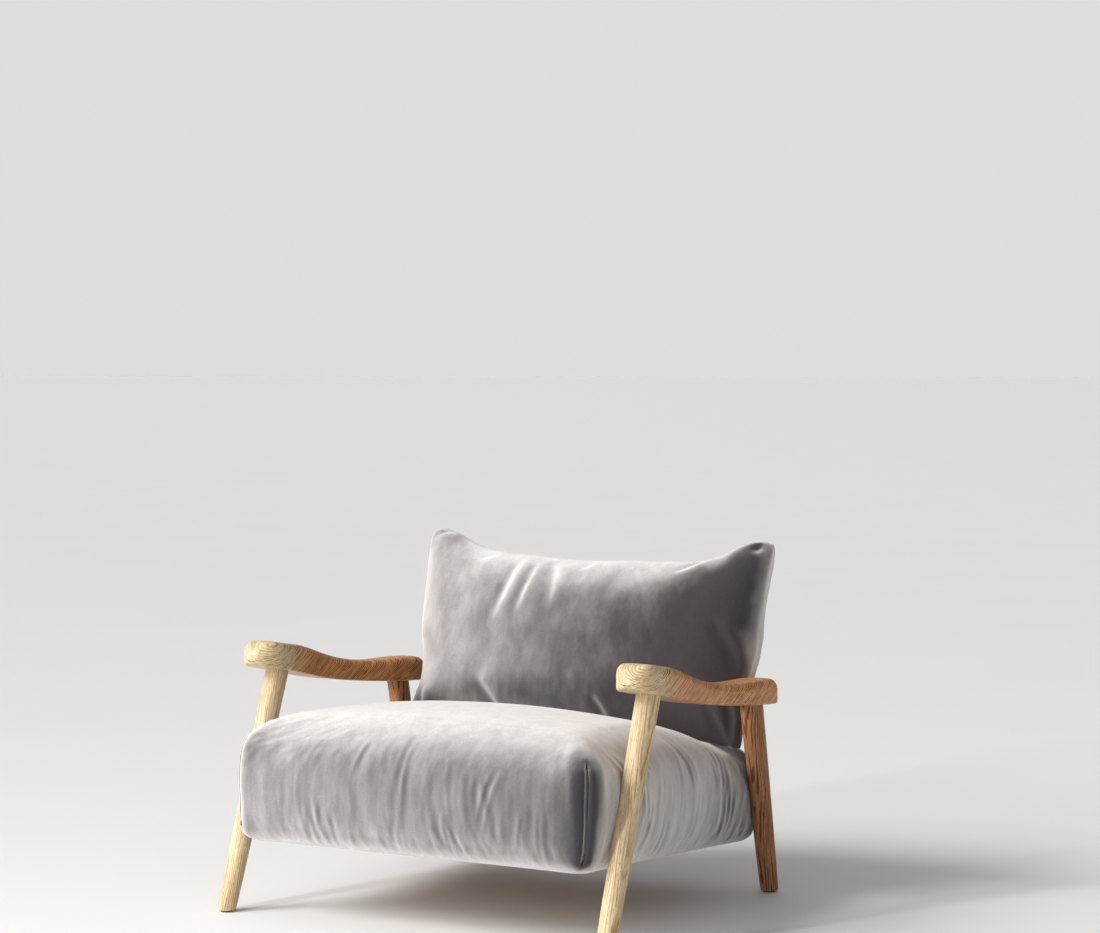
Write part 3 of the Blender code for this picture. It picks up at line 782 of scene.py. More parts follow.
def make_stile(side, material):
    """A bent stile, with its edges rounded and the bend eased."""
    node = "back_stile_" + side
    surface = surface_of(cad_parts[node].data)
    low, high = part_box(node)
    middle, half_width = (low.x + high.x) / 2, (high.x - low.x) / 2
    heights = np.linspace(low.z + STILE_EDGE, high.z - STILE_EDGE, 60)
    front, rear = (
        np.array([hit(surface, (middle, 2 * end, z), (0, -end, 0)).y for z in heights]) for end in (-1, 1)
    )
    path = np.column_stack([(front + rear) / 2, heights])
    for _ in range(12):
        path[1:-1] = (path[:-2] + 2 * path[1:-1] + path[2:]) / 4
    tangent = np.gradient(path, axis=0)
    tangent /= np.linalg.norm(tangent, axis=1)[:, None]
    normal = np.column_stack([tangent[:, 1], -tangent[:, 0]])
    half_depth = (rear - front) * tangent[:, 1] / 2
    run = np.concatenate([[0], np.cumsum(np.linalg.norm(np.diff(path, axis=0), axis=1))])
    rows = [(0, shift, share) for shift, share in STILE_ENDS]
    rows += [(k, 0.0, 1.0) for k in range(len(path))]
    rows += [(len(path) - 1, -shift, share) for shift, share in reversed(STILE_ENDS)]
    rings, grain = [], []
    for k, shift, share in rows:
        reach = half_depth[k] * share
        x, across = rounded_section(half_width * share, -reach, reach, STILE_EDGE, STILE_EDGE)
        outline = path[k] + tangent[k] * shift + across[:, None] * normal[k]
        rings.append(np.column_stack([middle + x, outline]))
        along = np.full_like(x, run[k] + shift)
        grain.append(np.column_stack([across + 0.3, x + 0.2 * (middle > 0), along]))
    make_bar(node, rings, grain, material)


def numbered(start):
    return sorted(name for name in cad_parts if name.startswith(start))


class ARMCHAIR_OT_seat_frame(bpy.types.Operator):
    """Make the bearers, cross rails and slats under the seat"""

    bl_idname = "armchair.seat_frame"
    bl_label = "Seat frame"

    def execute(self, context):
        make_bars("seat_bearers", planed_boards, ["seat_bearer_left", "seat_bearer_right"], Edge=0.004)
        make_bars("seat_cross_rails", planed_boards, ["seat_rail_front", "seat_rail_rear"], Edge=0.004)
        make_bars("seat_slats", planed_boards, numbered("seat_slat_"), "oak_slat", Edge=0.003)
        return {"FINISHED"}


class ARMCHAIR_OT_back_frame(bpy.types.Operator):
    """Make the stiles, rails and spindles behind the back cushion"""

    bl_idname = "armchair.back_frame"
    bl_label = "Back frame"

    def execute(self, context):
        for side in SIDES:
            make_stile(side, oak_material(context.scene.armchair.oak))
        make_bars("back_rails", planed_boards, ["back_rail_low", "back_rail_high"], Edge=0.005)
        make_bars("back_spindles", turned_rods, numbered("back_spindle_"), Belly=0.10, Sides=28, Ease=1.2)
        return {"FINISHED"}


# ------------------------------------------------------------
# Cloth

CLOTH = {
    "quality": 6,
    "mass": 0.25,
    "tension_stiffness": 20,
    "compression_stiffness": 20,
    "shear_stiffness": 8,
    "bending_stiffness": 0.15,
    "air_damping": 2.0,
    "use_pressure": True,
}
CLOTH_FRAMES = 20


def coordinates(mesh):
    return read(mesh.vertices, "co").astype(float)


def set_coordinates(mesh, values):
    mesh.vertices.foreach_set("co", np.asarray(values, np.float32).ravel())
    mesh.update()


def raised(mesh, out):
    """Places of a mesh's points, each moved so far along its normal."""
    return coordinates(mesh) + read(mesh.vertex_normals, "vector").astype(float) * out[:, None]


def soften(mesh, values, rounds):
    """Evens values out over neighbouring points."""
    ends = read(mesh.edges, "vertices", 2, np.int32)
    first, second = ends.T
    count = np.bincount(ends.ravel(), minlength=len(values)).astype(float)
    for _ in range(rounds):
        near = np.empty_like(values)
        for k in range(values.shape[1]):
            total = np.bincount(first, values[second, k], len(values))
            total += np.bincount(second, values[first, k], len(values))
            near[:, k] = total / count
        values = (values + near) / 2
    return values


def fill_cover(piece, held, settings, farthest, rounds):
    """The held points are kept still, and no point moves further than the farthest.
    """
    group = piece.vertex_groups.new(name="held")
    group.add([int(i) for i in held], 1.0, "REPLACE")
    before = coordinates(piece.data)
    cloth = piece.modifiers.new("cloth", "CLOTH")
    for field, value in CLOTH.items():
        setattr(cloth.settings, field, value)
    cloth.settings.uniform_pressure_force = settings.pressure
    cloth.settings.shrink_min = -settings.slack
    cloth.settings.vertex_group_mass = "held"
    cloth.settings.effector_weights.gravity = 0.0
    cloth.collision_settings.use_collision = False
    cloth.point_cache.frame_start = 1
    cloth.point_cache.frame_end = CLOTH_FRAMES
    scene = bpy.context.scene
    for number in range(1, CLOTH_FRAMES + 1):
        scene.frame_set(number)
    result = piece.evaluated_get(bpy.context.evaluated_depsgraph_get()).to_mesh()
    moved = coordinates(result) - before
    piece.modifiers.remove(cloth)
    piece.vertex_groups.remove(group)
    scene.frame_set(1)
    length = np.linalg.norm(moved, axis=1)[:, None]
    moved *= farthest * np.tanh(length / farthest) / np.maximum(length, 1e-9)
    set_coordinates(piece.data, before + soften(piece.data, moved, rounds))


def subdivide(piece):
    """One level of subdivision, applied."""
    modifier = piece.modifiers.new("finer", "SUBSURF")
    modifier.levels = 1
    modifier.render_levels = 1
    finer = bpy.data.meshes.new_from_object(piece.evaluated_get(bpy.context.evaluated_depsgraph_get()))
    piece.modifiers.remove(modifier)
    piece.data = finer
    finer.shade_smooth()
    return finer


def take(mesh, name, width):
    """Reads an attribute and removes it."""
    field = "vector" if width > 1 else "value"
    values = read(mesh.attributes[name].data, field, width).astype(float)
    mesh.attributes.remove(mesh.attributes[name])
    return values


def waves(seed, octaves, *across):
    """Smooth noise, about -1 to 1, at each point."""
    shift = Vector((seed * 7.31, seed * 3.17, seed * 5.93))
    points = np.stack(across, axis=1)
    return np.array(
        [noise.fractal(Vector(p) + shift, 0.8, 2.1, octaves, noise_basis="PERLIN_ORIGINAL") for p in points]
    )


# ------------------------------------------------------------
# Seat cushion


class SeatShape:
    """The seat's form in its own axes: V runs back along its underside and W up, both tilted."""

    TOP_REACH, TOP_DROP = 0.074, 0.056  # rounding of the upper edge, inwards and down
    UNDER_ROUND = 0.026
    CROWN_V, CROWN_FADE = 0.30, 0.32
    DIP_START, DIP_END, DIP_DELAY = 0.34, 0.64, 0.12
    RECESS_SIDE, RECESS_FRONT, RECESS_REAR = 0.066, 0.045, 0.040  # margins of the hollow for the seat's frame
    RECESS_DEPTH, RECESS_CORNER, HEM_CORNER = 0.086, 0.004, 0.02
    NOTCH_CLEAR, NOTCH_EASE = 0.0035, 0.006
    WELT_GAP, WELT_PROUD = 0.0034, 0.0004
    WELT_LOW, WELT_HIGH, WELT_POINTS = 0.030, 0.205, 36

    def __init__(self, settings):
        self.settings = settings
        self.up = np.array(Vector((0, math.sin(settings.tilt), math.cos(settings.tilt))))
        self.back = np.array(Vector((0, math.cos(settings.tilt), -math.sin(settings.tilt))))
        points = node_points("seat_cushion")
        along, height = points @ self.back, points @ self.up
        self.origin = self.back * (along.min() + settings.bulge) + self.up * height.min()
        self.length = along.max() - self.origin @ self.back
        self.half_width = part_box("seat_cushion")[1].x - settings.bulge
        low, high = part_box("seat_bearer_left")
        self.bearer_x = abs(low.x + high.x) / 2
        self.bearer_half = (high.x - low.x) / 2
        self.bearer_top = max(self.to_seat(point)[2] for point in node_points("seat_bearer_left"))

    def to_seat(self, point):
        offset = np.asarray(point) - self.origin
        return np.array([offset[..., 0], offset @ self.back, offset @ self.up])

    def to_world(self, x, v, w):
        aside = np.stack([x, 0 * x, 0 * x], axis=-1)
        return self.origin + aside + v[..., None] * self.back + w[..., None] * self.up

    def top(self, x, v):
        """Height of the upper face: crowned in the middle, sunk under the back cushion."""
        outwards = (x / self.half_width) ** 2
        start = self.DIP_START + self.DIP_DELAY * outwards**4
        dip = self.settings.rear_dip * smooth_step((v - start) / (self.DIP_END - self.DIP_START))
        across = np.maximum(0.0, 1 - outwards)
        along = np.maximum(0.0, 1 - (np.abs(v - self.CROWN_V) / self.CROWN_FADE) ** 2.2)
        return self.settings.side_height - dip + self.settings.crown * across * along

    def ring(self, margins, radius, counts):
        """X and V round a rectangle with rounded corners, inside the side, front and rear margins."""
        side, front, rear = margins
        half_x, rear = self.half_width - side, self.length - rear
        runs = []
        for count, straight in zip(counts, (2 * (half_x - radius), rear - front - 2 * radius)):
            arc = radius * math.pi / 4
            far = np.linspace(-(straight / 2 + arc), straight / 2 + arc, count + 1)[:-1]
            over = np.clip(np.abs(far) - straight / 2, 0, None) / radius
            along = np.sign(far) * (np.minimum(np.abs(far), straight / 2) + radius * np.sin(over))
            runs.append((along, radius * (1 - np.cos(over))))
        (along_x, in_x), (along_v, in_v) = runs
        middle = (front + rear) / 2
        x = np.concatenate([along_x, half_x - in_v, -along_x, in_v - half_x])
        v = np.concatenate([front + in_x, middle + along_v, rear - in_x, middle - along_v])
        return x, v

    def notch(self, x, v):
        """How far the rear skirt is let up over each bearer."""
        near = np.abs(np.abs(x) - self.bearer_x) - self.bearer_half - self.NOTCH_CLEAR
        behind = smooth_step((v - self.length * 0.8) / 0.02)
        return (self.bearer_top + self.NOTCH_CLEAR) * (1 - smooth_step(near / self.NOTCH_EASE)) * behind


def seat_levels(shape, cell):
    """From the recess's top, down its wall, out along the hem, up the side and in over the upper edge.

    Each level holds: kind, inset, share of the side height, rise added to that, distance up the cover.
    """
    levels = [("recess", 0.0, 0.0, w, 0.0) for w in np.linspace(shape.RECESS_DEPTH, 0.006, 9)]
    levels += [("recess", 0.003, 0.0, 0.001, 0.0)]
    levels += [("hem", share, 0.0, 0.0, 0.0) for share in np.linspace(0.12, 0.9, 6)]
    under, reach, drop = shape.UNDER_ROUND, shape.TOP_REACH, shape.TOP_DROP
    rise = under * QUARTER
    steps = max(3, round(rise / cell))
    for angle in (QUARTER * k / steps for k in range(steps + 1)):
        inset, height = under * (1 - math.sin(angle)), under * (1 - math.cos(angle))
        levels.append(("side", inset, 0.0, height, under * angle))
    upright = shape.settings.side_height - under - drop
    steps = round(upright / cell)
    for share in (k / steps for k in range(1, steps)):
        levels.append(("side", 0.0, share, under * (1 - share) - drop * share, rise + upright * share))
    rise += upright
    arc = QUARTER * math.sqrt((reach**2 + drop**2) / 2)
    steps = round(arc / cell)
    for k in range(steps + 1):
        angle = QUARTER * k / steps
        inset, height = reach * (1 - math.cos(angle)), -drop * (1 - math.sin(angle))
        levels.append(("side", inset, 1.0, height, rise + arc * k / steps))
    return levels


def seat_level(shape, counts, kind, inset, share, height):
    """Points round one level of the seat cover."""
    if kind == "side":
        x, v = shape.ring((inset, inset, inset), shape.settings.corner_radius, counts)
        top = shape.top(x, v)
        w = share * top + height
        bulge = shape.settings.bulge * np.sin(math.pi * np.clip(w / top, 0, 1)) ** 0.7
        x, v = x * (1 + bulge / shape.half_width), v - bulge * (1 - v / shape.length)
        lift = shape.notch(x, v)
        w = np.maximum(w, 0) + lift * np.clip(1 - w / (2.2 * shape.RECESS_DEPTH), 0, 1)
        return shape.to_world(x, v, w)
    narrower = inset * (kind == "recess")
    margins = (shape.RECESS_SIDE - narrower, shape.RECESS_FRONT, shape.RECESS_REAR)
    x, v = shape.ring(margins, shape.RECESS_CORNER, counts)
    if kind == "hem":
        outer_x, outer_v = shape.ring((shape.UNDER_ROUND,) * 3, shape.HEM_CORNER, counts)
        x, v = x + (outer_x - x) * inset, v + (outer_v - v) * inset
    lift = shape.notch(x, v)
    return shape.to_world(x, v, lift + height * (1 - lift / shape.RECESS_DEPTH))


def filled_in(rim, nx, nv):
    """Spans a rim, given as numbers round a rectangle, with a patch that follows all four of its edges."""
    s, t = np.meshgrid(np.linspace(0, 1, nx + 1), np.linspace(0, 1, nv + 1))
    front, right, rear, left = rim_parts(nx, nv)
    edges = (1 - t) * rim[front] + t * rim[rear] + (1 - s) * rim[left][:, None] + s * rim[right][:, None]
    near = (1 - s) * (1 - t) * rim[0] + s * (1 - t) * rim[nx]
    return edges - (near + s * t * rim[nx + nv] + (1 - s) * t * rim[2 * nx + nv])


def rim_parts(nx, nv):
    """Places along a rim of its front, right, rear and left edges, each from the left or from the front."""
    around = 2 * (nx + nv)
    rear = np.arange(nx + nv, 2 * nx + nv + 1)[::-1]
    left = (np.arange(2 * nx + nv, around + 1) % around)[::-1]
    return np.arange(nx + 1), np.arange(nx, nx + nv + 1), rear, left


def seat_mesh(shape, cell):
    """Points, faces and rise of the seat cover, and which points the hem holds."""
    nx, nv = (2 * round(side / cell / 2) for side in (2 * shape.half_width, shape.length))
    around = 2 * (nx + nv)
    points, rises, held = [], [], []
    for kind, inset, share, height, rise in seat_levels(shape, cell):
        points.append(seat_level(shape, (nx, nv), kind, inset, share, height))
        rises.append(np.full(around, rise))
        held.append(np.full(around, kind != "side" or rise < 0.012))
    rows = len(points)

    reach = shape.TOP_REACH
    rim = shape.ring((reach, reach, reach), shape.settings.corner_radius, (nx, nv))
    x, v = (filled_in(line, nx, nv) for line in rim)
    inner = shape.to_world(x, v, shape.top(x, v))[1:-1, 1:-1]
    inwards = np.minimum.reduce([shape.half_width - reach - np.abs(x), v - reach, shape.length - reach - v])
    points.append(inner.reshape(-1, 3))
    rises.append((rises[-1][0] + np.maximum(inwards[1:-1, 1:-1], 0)).ravel())
    held.append(np.zeros(len(points[-1]), bool))

    numbers = np.zeros((nv + 1, nx + 1), int)
    front, right, rear, left = ((rows - 1) * around + part for part in rim_parts(nx, nv))
    numbers[0], numbers[:, nx], numbers[nv], numbers[:, 0] = front, right, rear, left
    numbers[1:-1, 1:-1] = rows * around + np.arange(len(points[-1])).reshape(inner.shape[:2])
    sides = grid_faces(closed_rows(rows, around), turned=True)
    faces = np.concatenate([sides, grid_faces(numbers)]).tolist()
    return np.concatenate(points), faces, np.concatenate(rises), np.flatnonzero(np.concatenate(held))


CORNER_REACH, CORNER_FADE = 0.16, 0.05
CORNER_SHARES = ((-1, 0.45), (1, 1.0))  # the left corners are drawn in less than the right ones
FRONT_FOLDS, FRONT_PUSH = 30, 1.0  # number of bundles, and how they lean with the bow of the cloth
FLANK_FOLDS, FLANK_PUSH = 20, -1.25
FOLD_HEIGHTS = (0.045, 0.09, 0.15, 0.21)
FOLD_REACH, FOLD_SIZE, FOLD_LEAN, FOLD_WIDTH = (0.028, 0.065), (0.4, 1.5), (-0.28, 0.28), (0.0042, 0.0100)
MID_RISE = 0.15
LUMP_HEIGHT = 0.0022
GROOVE_DEPTH, GROOVE_WIDTH = 0.0110, 0.0052  # the seam's own
HOLLOW_DEPTH, HOLLOW_WIDTH = 0.0048, 0.024  # of the cloth round the seam
RING_HEIGHT, RING_PLACE, RING_WIDTH = 0.0024, 0.044, 0.014  # what stands up round the seam's upper end


def corners(shape, x, v):
    """For each corner of the seat: the distance along the cover from its seam, and how near the corner is."""
    for side, share in CORNER_SHARES:
        for back in (v, shape.length - v):
            inwards = shape.half_width - side * x
            near_back = share * smooth_step((CORNER_REACH - back) / CORNER_FADE)
            yield back - inwards, near_back * smooth_step((CORNER_REACH - inwards) / CORNER_FADE)


def seat_folds(shape, points, rise):
    """How far the seat cover's points stand out: bundles of upright folds, tucked corners and soft lumps."""
    settings = shape.settings
    x, v, w = shape.to_seat(points)
    half, length = shape.half_width, shape.length
    on_flank = smooth_step((np.abs(x) - half + 0.10) / 0.03) * smooth_step((v - 0.03) / 0.03)
    from_left = smooth_step((-0.02 - x) / 0.36) * (1 - on_flank)
    bow = ((rise - MID_RISE) / MID_RISE) ** 2 * np.where(rise > MID_RISE, 0.020 + 0.17 * from_left, 0.024)
    on_side = smooth_step((rise - 0.004) / 0.03) * (1 - smooth_step((rise - 0.235 - 0.03 * from_left) / 0.07))
    depth = settings.fold_depth * (1 + 1.1 * on_flank)
    sway_x, sway_v = x - bow, v + 1.25 * bow
    fine = waves(settings.fold_seed, 2, sway_x * 60, sway_v * 60, w * 6)
    broad = waves(settings.fold_seed + 3, 2, sway_x * 17, sway_v * 17, w * 4)
    gathers = 1 + 1.2 * (1 - smooth_step((rise - 0.03) / 0.07))
    out = on_side * depth * (0.45 * gathers * fine + 1.9 * broad)
    lumps = waves(settings.fold_seed + 5, 2, x * 6, v * 6, w * 6)
    out += LUMP_HEIGHT * lumps * smooth_step(rise / 0.05) * (1 - 0.7 * smooth_step((rise - 0.22) / 0.05))

    chance = np.random.default_rng(settings.fold_seed)
    front = (x, (0.03 - half, half - 0.09), FRONT_FOLDS, FRONT_PUSH, 1 - on_flank)
    flank = (v, (0.07, length - 0.06), FLANK_FOLDS, FLANK_PUSH, on_flank)
    for across, span, count, push, on_face in (front, flank):
        for _ in range(count):
            place = chance.uniform(*span)
            height = chance.choice(FOLD_HEIGHTS)
            reach, size, lean = (chance.uniform(*span) for span in (FOLD_REACH, FOLD_SIZE, FOLD_LEAN))
            for _ in range(chance.integers(1, 4)):
                width = chance.uniform(*FOLD_WIDTH)
                aside = across - place - push * bow - lean * (rise - height)
                shaped = bell(aside, width) - 0.7 * bell(aside - push * 1.6 * width, 1.5 * width)
                window = smooth_step(1.35 - np.abs(rise - height) / reach)
                out += on_face * depth * size * shaped * window * on_side
                place += chance.uniform(2.2, 3.4) * width
                height += chance.uniform(-0.02, 0.02)

    tuck = ring = 0.0
    upright = smooth_step((rise - 0.024) / 0.03) * (1 - smooth_step((rise - 0.226) / 0.024))
    for run, close in corners(shape, x, v):
        run = run + 0.014 * smooth_step((0.065 - rise) / 0.05)
        drawn_in = GROOVE_DEPTH * bell(run, GROOVE_WIDTH) + HOLLOW_DEPTH * bell(run, HOLLOW_WIDTH)
        tuck = tuck + close * upright * drawn_in
        around = np.hypot(run, 0.8 * np.maximum(rise - 0.215, 0))
        high_up = smooth_step((rise - 0.09) / 0.12)
        ring = ring + close * high_up * RING_HEIGHT * bell(around - RING_PLACE, RING_WIDTH)
    return out * (1 - 0.7 * smooth_step(tuck / 0.006)) - tuck + ring


def seat_nap(shape, points):
    """Painted light and shade on the seat's pile: the front paler towards the left, where the light falls, and
    painted shade along the left edge, round the corners' seams and towards the rear of the sides.
    """
    x, v, w = shape.to_seat(points)
    half = shape.half_width
    towards_left = 0.5 - 0.5 * x / half
    # Painted light: the front paler towards the left, where the light falls.
    nap = 0.05 + 0.08 * towards_left * (1 - smooth_step((v - 0.1) / 0.2))
    # Painted shade along the left edge.
    nap -= 0.22 * smooth_step((0.06 - half - x) / 0.06)
    on_flank = smooth_step((np.abs(x) - half + 0.04) / 0.03)
    upright = smooth_step((0.26 - w) / 0.09)
    # Painted shade in and round the corners' seams.
    for run, close in corners(shape, x, v):
        nap -= 0.20 * close * upright * bell(run, 0.040)
    # Painted shadow on the sides, darker towards the rear.
    return nap + on_flank * (0.045 - 0.27 * smooth_step((v - 0.38) / 0.27))


def seam_lines(shape, cover):
    """Two lines side by side in the bottom of each corner's tuck, as points and edges."""
    surface = surface_of(cover)
    inset = 0.045
    points, edges = [], []
    for side in (-1, 1):
        for v, outwards in ((inset, -1), (shape.length - inset, 1)):
            diagonal = np.array([side, 0, 0]) + outwards * shape.back
            diagonal /= np.linalg.norm(diagonal)
            aside = np.cross(diagonal, shape.up)
            corner = side * (shape.half_width - inset)
            for shift in (-shape.WELT_GAP / 2, shape.WELT_GAP / 2):
                for w in np.linspace(shape.WELT_LOW, shape.WELT_HIGH, shape.WELT_POINTS):
                    lean = 0.010 * smooth_step((0.050 - w) / 0.05)
                    middle = shape.to_world(*np.array([corner, v, w])) + aside * (shift + lean)
                    found = hit(surface, middle + diagonal * 0.2, -diagonal)
                    points.append(np.array(found) + diagonal * shape.WELT_PROUD)
                count = len(points)
                edges += [(k, k + 1) for k in range(count - shape.WELT_POINTS, count - 1)]
    return points, edges


class ARMCHAIR_OT_seat_cushion(bpy.types.Operator):
    """Make the velvet seat, filled by a short cloth simulation and then folded"""

    bl_idname = "armchair.seat_cushion"
    bl_label = "Seat cushion"

    def execute(self, context):
        settings = context.scene.armchair
        shape = SeatShape(settings.seat)
        points, faces, rise, held = seat_mesh(shape, settings.seat.cell)
        velvet = velvet_material(settings.velvet)
        piece = make_piece("seat_cover", points, faces, velvet, ["seat_cushion"])
        write(piece.data, RISE, rise)
        fill_cover(piece, held, settings.seat, farthest=0.008, rounds=24)
        mesh = subdivide(piece)
        face_outwards(mesh, close=True)
        rise = take(mesh, RISE, 1)[:, 0]
        places = coordinates(mesh)
        set_coordinates(mesh, raised(mesh, seat_folds(shape, places, rise)))
        # Painted light and shade on the seat cover, stored as an attribute.
        write(mesh, NAP_AND_PAINTED_LIGHT, seat_nap(shape, places))
        points, edges = seam_lines(shape, mesh)
        values = {"Radius": 0.0013, "Sides": 10, "Material": velvet}
        make_by_tree("seat_welts", welts, points, values, [], edges)
        return {"FINISHED"}


# ------------------------------------------------------------
# Back cushion

PLANE_HALF, PLANE_UP, PLANE_DOWN = 0.43, 0.20, 0.22  # size of the plane that creases are drawn on
CREASES = (  # start and end on that plane (across, up), width and height's share
    ((-0.140, 0.142), (-0.174, 0.012), 0.0105, 1.00),
    ((-0.099, 0.140), (-0.118, 0.028), 0.0090, 0.75),
    ((-0.052, 0.150), (-0.036, 0.045), 0.0110, 0.65),
    ((-0.212, 0.168), (-0.250, 0.136), 0.0085, 0.55),
    ((0.034, 0.165), (0.010, 0.134), 0.0085, 0.50),
    ((0.283, 0.168), (0.240, 0.128), 0.0085, 0.65),
    ((0.358, 0.020), (0.418, -0.050), 0.0090, 1.80),
    ((-0.205, -0.120), (-0.152, -0.188), 0.0095, 0.65),
    ((0.098, -0.145), (0.132, -0.202), 0.0085, 0.60),
    ((0.368, -0.140), (0.408, -0.212), 0.0070, 1.50),
    ((0.408, -0.115), (0.414, -0.205), 0.0060, 1.20),
    ((-0.380, -0.150), (-0.370, -0.195), 0.0080, 0.50),
    ((-0.340, 0.200), (-0.400, 0.170), 0.0080, 0.70),
)
DIMPLE, DIMPLE_DEPTH, DIMPLE_WIDTH = (0.395, 0.178), 0.0070, 0.011  # where the right ear is pushed in
SEAM_DEPTH, SEAM_WIDTH = 0.0018, 0.0035
REST_GAP = 0.0006


def between(pair, u):
    """From the first value at the left end to the second at the right end."""
    return pair[0] + (pair[1] - pair[0]) * (u + 1) / 2


class CushionShape:
    """The back cushion on its raked plane: U runs across and V up, each from -1 to 1."""

    CENTRE = (0.007, 0.306, 0.5385)
    DOWN, UP = (0.234, 0.244), 0.220  # down to the left and right corners, and up
    HALF_LOW, HALF_HIGH = (0.402, 0.412), (0.436, 0.428)  # left and right of the middle
    TOP_SAG, UNDER_SAG, SIDE_SAG = 0.052, 0.008, 0.010
    SAG_POWER = (2.5, 4.5)  # a higher one keeps the sag up to the ear
    KICK = (0.054, 0.032)  # how far the lower left and right corners are pushed forward
    FULLNESS = (2.6, 2.2, 0.52)
    EAR_HIGH, EAR_LOW = (0.080, 0.16), (0.040, 0.07)  # share of U and of V over which a corner is rounded
    EARS = ((-0.86, 0.17, 0.020), (0.86, 0.12, 0.020))  # place, half-width and height of what stands up

    def __init__(self, settings):
        self.settings = settings
        self.turn = np.array(Matrix.Rotation(settings.yaw, 3, "Z") @ Matrix.Rotation(-settings.rake, 3, "X"))

    def round_corner(self, u, v):
        """Moves points near a corner so that the corner becomes an arc."""
        eu, ev = (np.where(v > 0, high, low) for high, low in zip(self.EAR_HIGH, self.EAR_LOW))
        p = np.clip((np.abs(u) - 1 + eu) / eu, 0, 1)
        q = np.clip((np.abs(v) - 1 + ev) / ev, 0, 1)
        both = (p > 0) & (q > 0)
        pu = np.where(both, p * np.sqrt(1 - q**2 / 2), p)
        qv = np.where(both, q * np.sqrt(1 - p**2 / 2), q)
        u = np.where(p > 0, np.sign(u) * (1 - eu + eu * pu), u)
        return u, np.where(q > 0, np.sign(v) * (1 - ev + ev * qv), v)

    def place(self, u, v, face):
        """World points; face is -1 on the front and 1 on the rear."""
        across, upright, whole = self.FULLNESS
        share = (np.clip(1 - np.abs(u) ** across, 0, 1) * np.clip(1 - np.abs(v) ** upright, 0, 1)) ** whole
        u, v = self.round_corner(u, v)
        widen = smooth_step((v + 0.65) / 0.70)
        low, high = between(self.HALF_LOW, u), between(self.HALF_HIGH, u)
        x = u * (low + (high - low) * widen - self.SIDE_SAG * (1 - v * v))
        level = 1 - np.abs(u) ** np.where(u < 0, *self.SAG_POWER)
        above = v * (self.UP - self.TOP_SAG * level * v * v)
        below = v * (between(self.DOWN, u) - self.UNDER_SAG * level * v * v)
        up = np.where(v > 0, above, below)
        for middle, width, height in self.EARS:
            up = up + height * bell(u - middle, width) * smooth_step((v - 0.3) / 0.7)
        depth = self.settings.front_depth if face < 0 else self.settings.rear_depth
        kick = between(self.KICK, u) * smooth_step((-0.1 - v) / 0.9)
        local = np.stack([x, face * depth * share - kick, up], axis=-1)
        return np.array(self.CENTRE) + local @ self.turn.T


def cushion_mesh(shape, cell):
    """Front and rear sheets that share their rim, with U, V and face for every point."""
    nu, nv = (2 * round(size / cell / 2) for size in (0.84, 0.46))
    ease = 0.82  # the rest of each step is narrowed towards the rim
    u, v = (np.linspace(-1, 1, count + 1) for count in (nu, nv))
    u, v = np.meshgrid(*(ease * line + (1 - ease) * np.sin(line * QUARTER) for line in (u, v)))
    rim = np.ones_like(u, bool)
    rim[1:-1, 1:-1] = False
    front = np.arange(u.size).reshape(u.shape)
    rear = front.copy()
    rear[~rim] = u.size + np.arange(u.size - rim.sum())
    points = np.concatenate([shape.place(u, v, -1).reshape(-1, 3), shape.place(u, v, 1)[~rim]])
    sheet = np.stack([u, v, np.where(rim, 0.0, -1.0)], axis=-1)
    behind = np.stack([u, v, np.ones_like(u)], axis=-1)[~rim]
    faces = np.stack([grid_faces(front), grid_faces(rear, turned=True)], axis=1).reshape(-1, 4).tolist()
    return points, faces, np.concatenate([sheet.reshape(-1, 3), behind]), front[rim]


def on_plane(where):
    """Across and up on the plane of the creases, in metres, for U and V."""
    u, v = where.T[:2]
    return u * PLANE_HALF, np.where(v > 0, v * PLANE_UP, v * PLANE_DOWN)


def drawn_creases(where):
    """The front face's creases: 1 on the highest crest, and below 0 in the furrow beside one."""
    across, up = on_plane(where)
    total = np.zeros(len(where))
    for (x0, y0), (x1, y1), width, size in CREASES:
        run = np.hypot(x1 - x0, y1 - y0)
        dx, dy = (x1 - x0) / run, (y1 - y0) / run
        along = ((across - x0) * dx + (up - y0) * dy) / run
        bend = 0.05 * run * (1 - (2 * np.clip(along, -0.3, 1.3) - 1) ** 2)
        aside = (across - x0) * dy - (up - y0) * dx + bend
        window = smooth_step((along + 0.25) / 0.45) * smooth_step((1.30 - along) / 0.7)
        crest = bell(aside, np.where(aside > 0, 1.0, 2.4) * width)
        total += size * window * (crest - 0.55 * bell(aside - 2.0 * width, 1.5 * width))
    return total * (where[:, 2] < 0)


def cushion_creases(shape, where):
    """How far the back cushion's points stand out: seam puckers, drawn creases and a soft unevenness."""
    u, v, face = where.T
    across, up = on_plane(where)
    out = 0.0034 * waves(11, 2, across * 7, up * 7, face * 3.7 * 7)
    edge_u, edge_v = (1 - np.abs(u)) * PLANE_HALF, (1 - np.abs(v)) * (PLANE_UP + PLANE_DOWN) / 2
    out += 0.0009 * bell(edge_v, 0.035) * waves(17, 2, across * 40, up * 9, face * 2.0)
    out += 0.0007 * bell(edge_u, 0.03) * waves(19, 2, across * 9, up * 40, face * 2.0)
    out += shape.settings.crease_height * drawn_creases(where)
    dimple = bell(np.hypot(across - DIMPLE[0], up - DIMPLE[1]), DIMPLE_WIDTH)
    out -= (face < 0) * DIMPLE_DEPTH * dimple
    return out - SEAM_DEPTH * bell(np.minimum(edge_u, edge_v), SEAM_WIDTH)


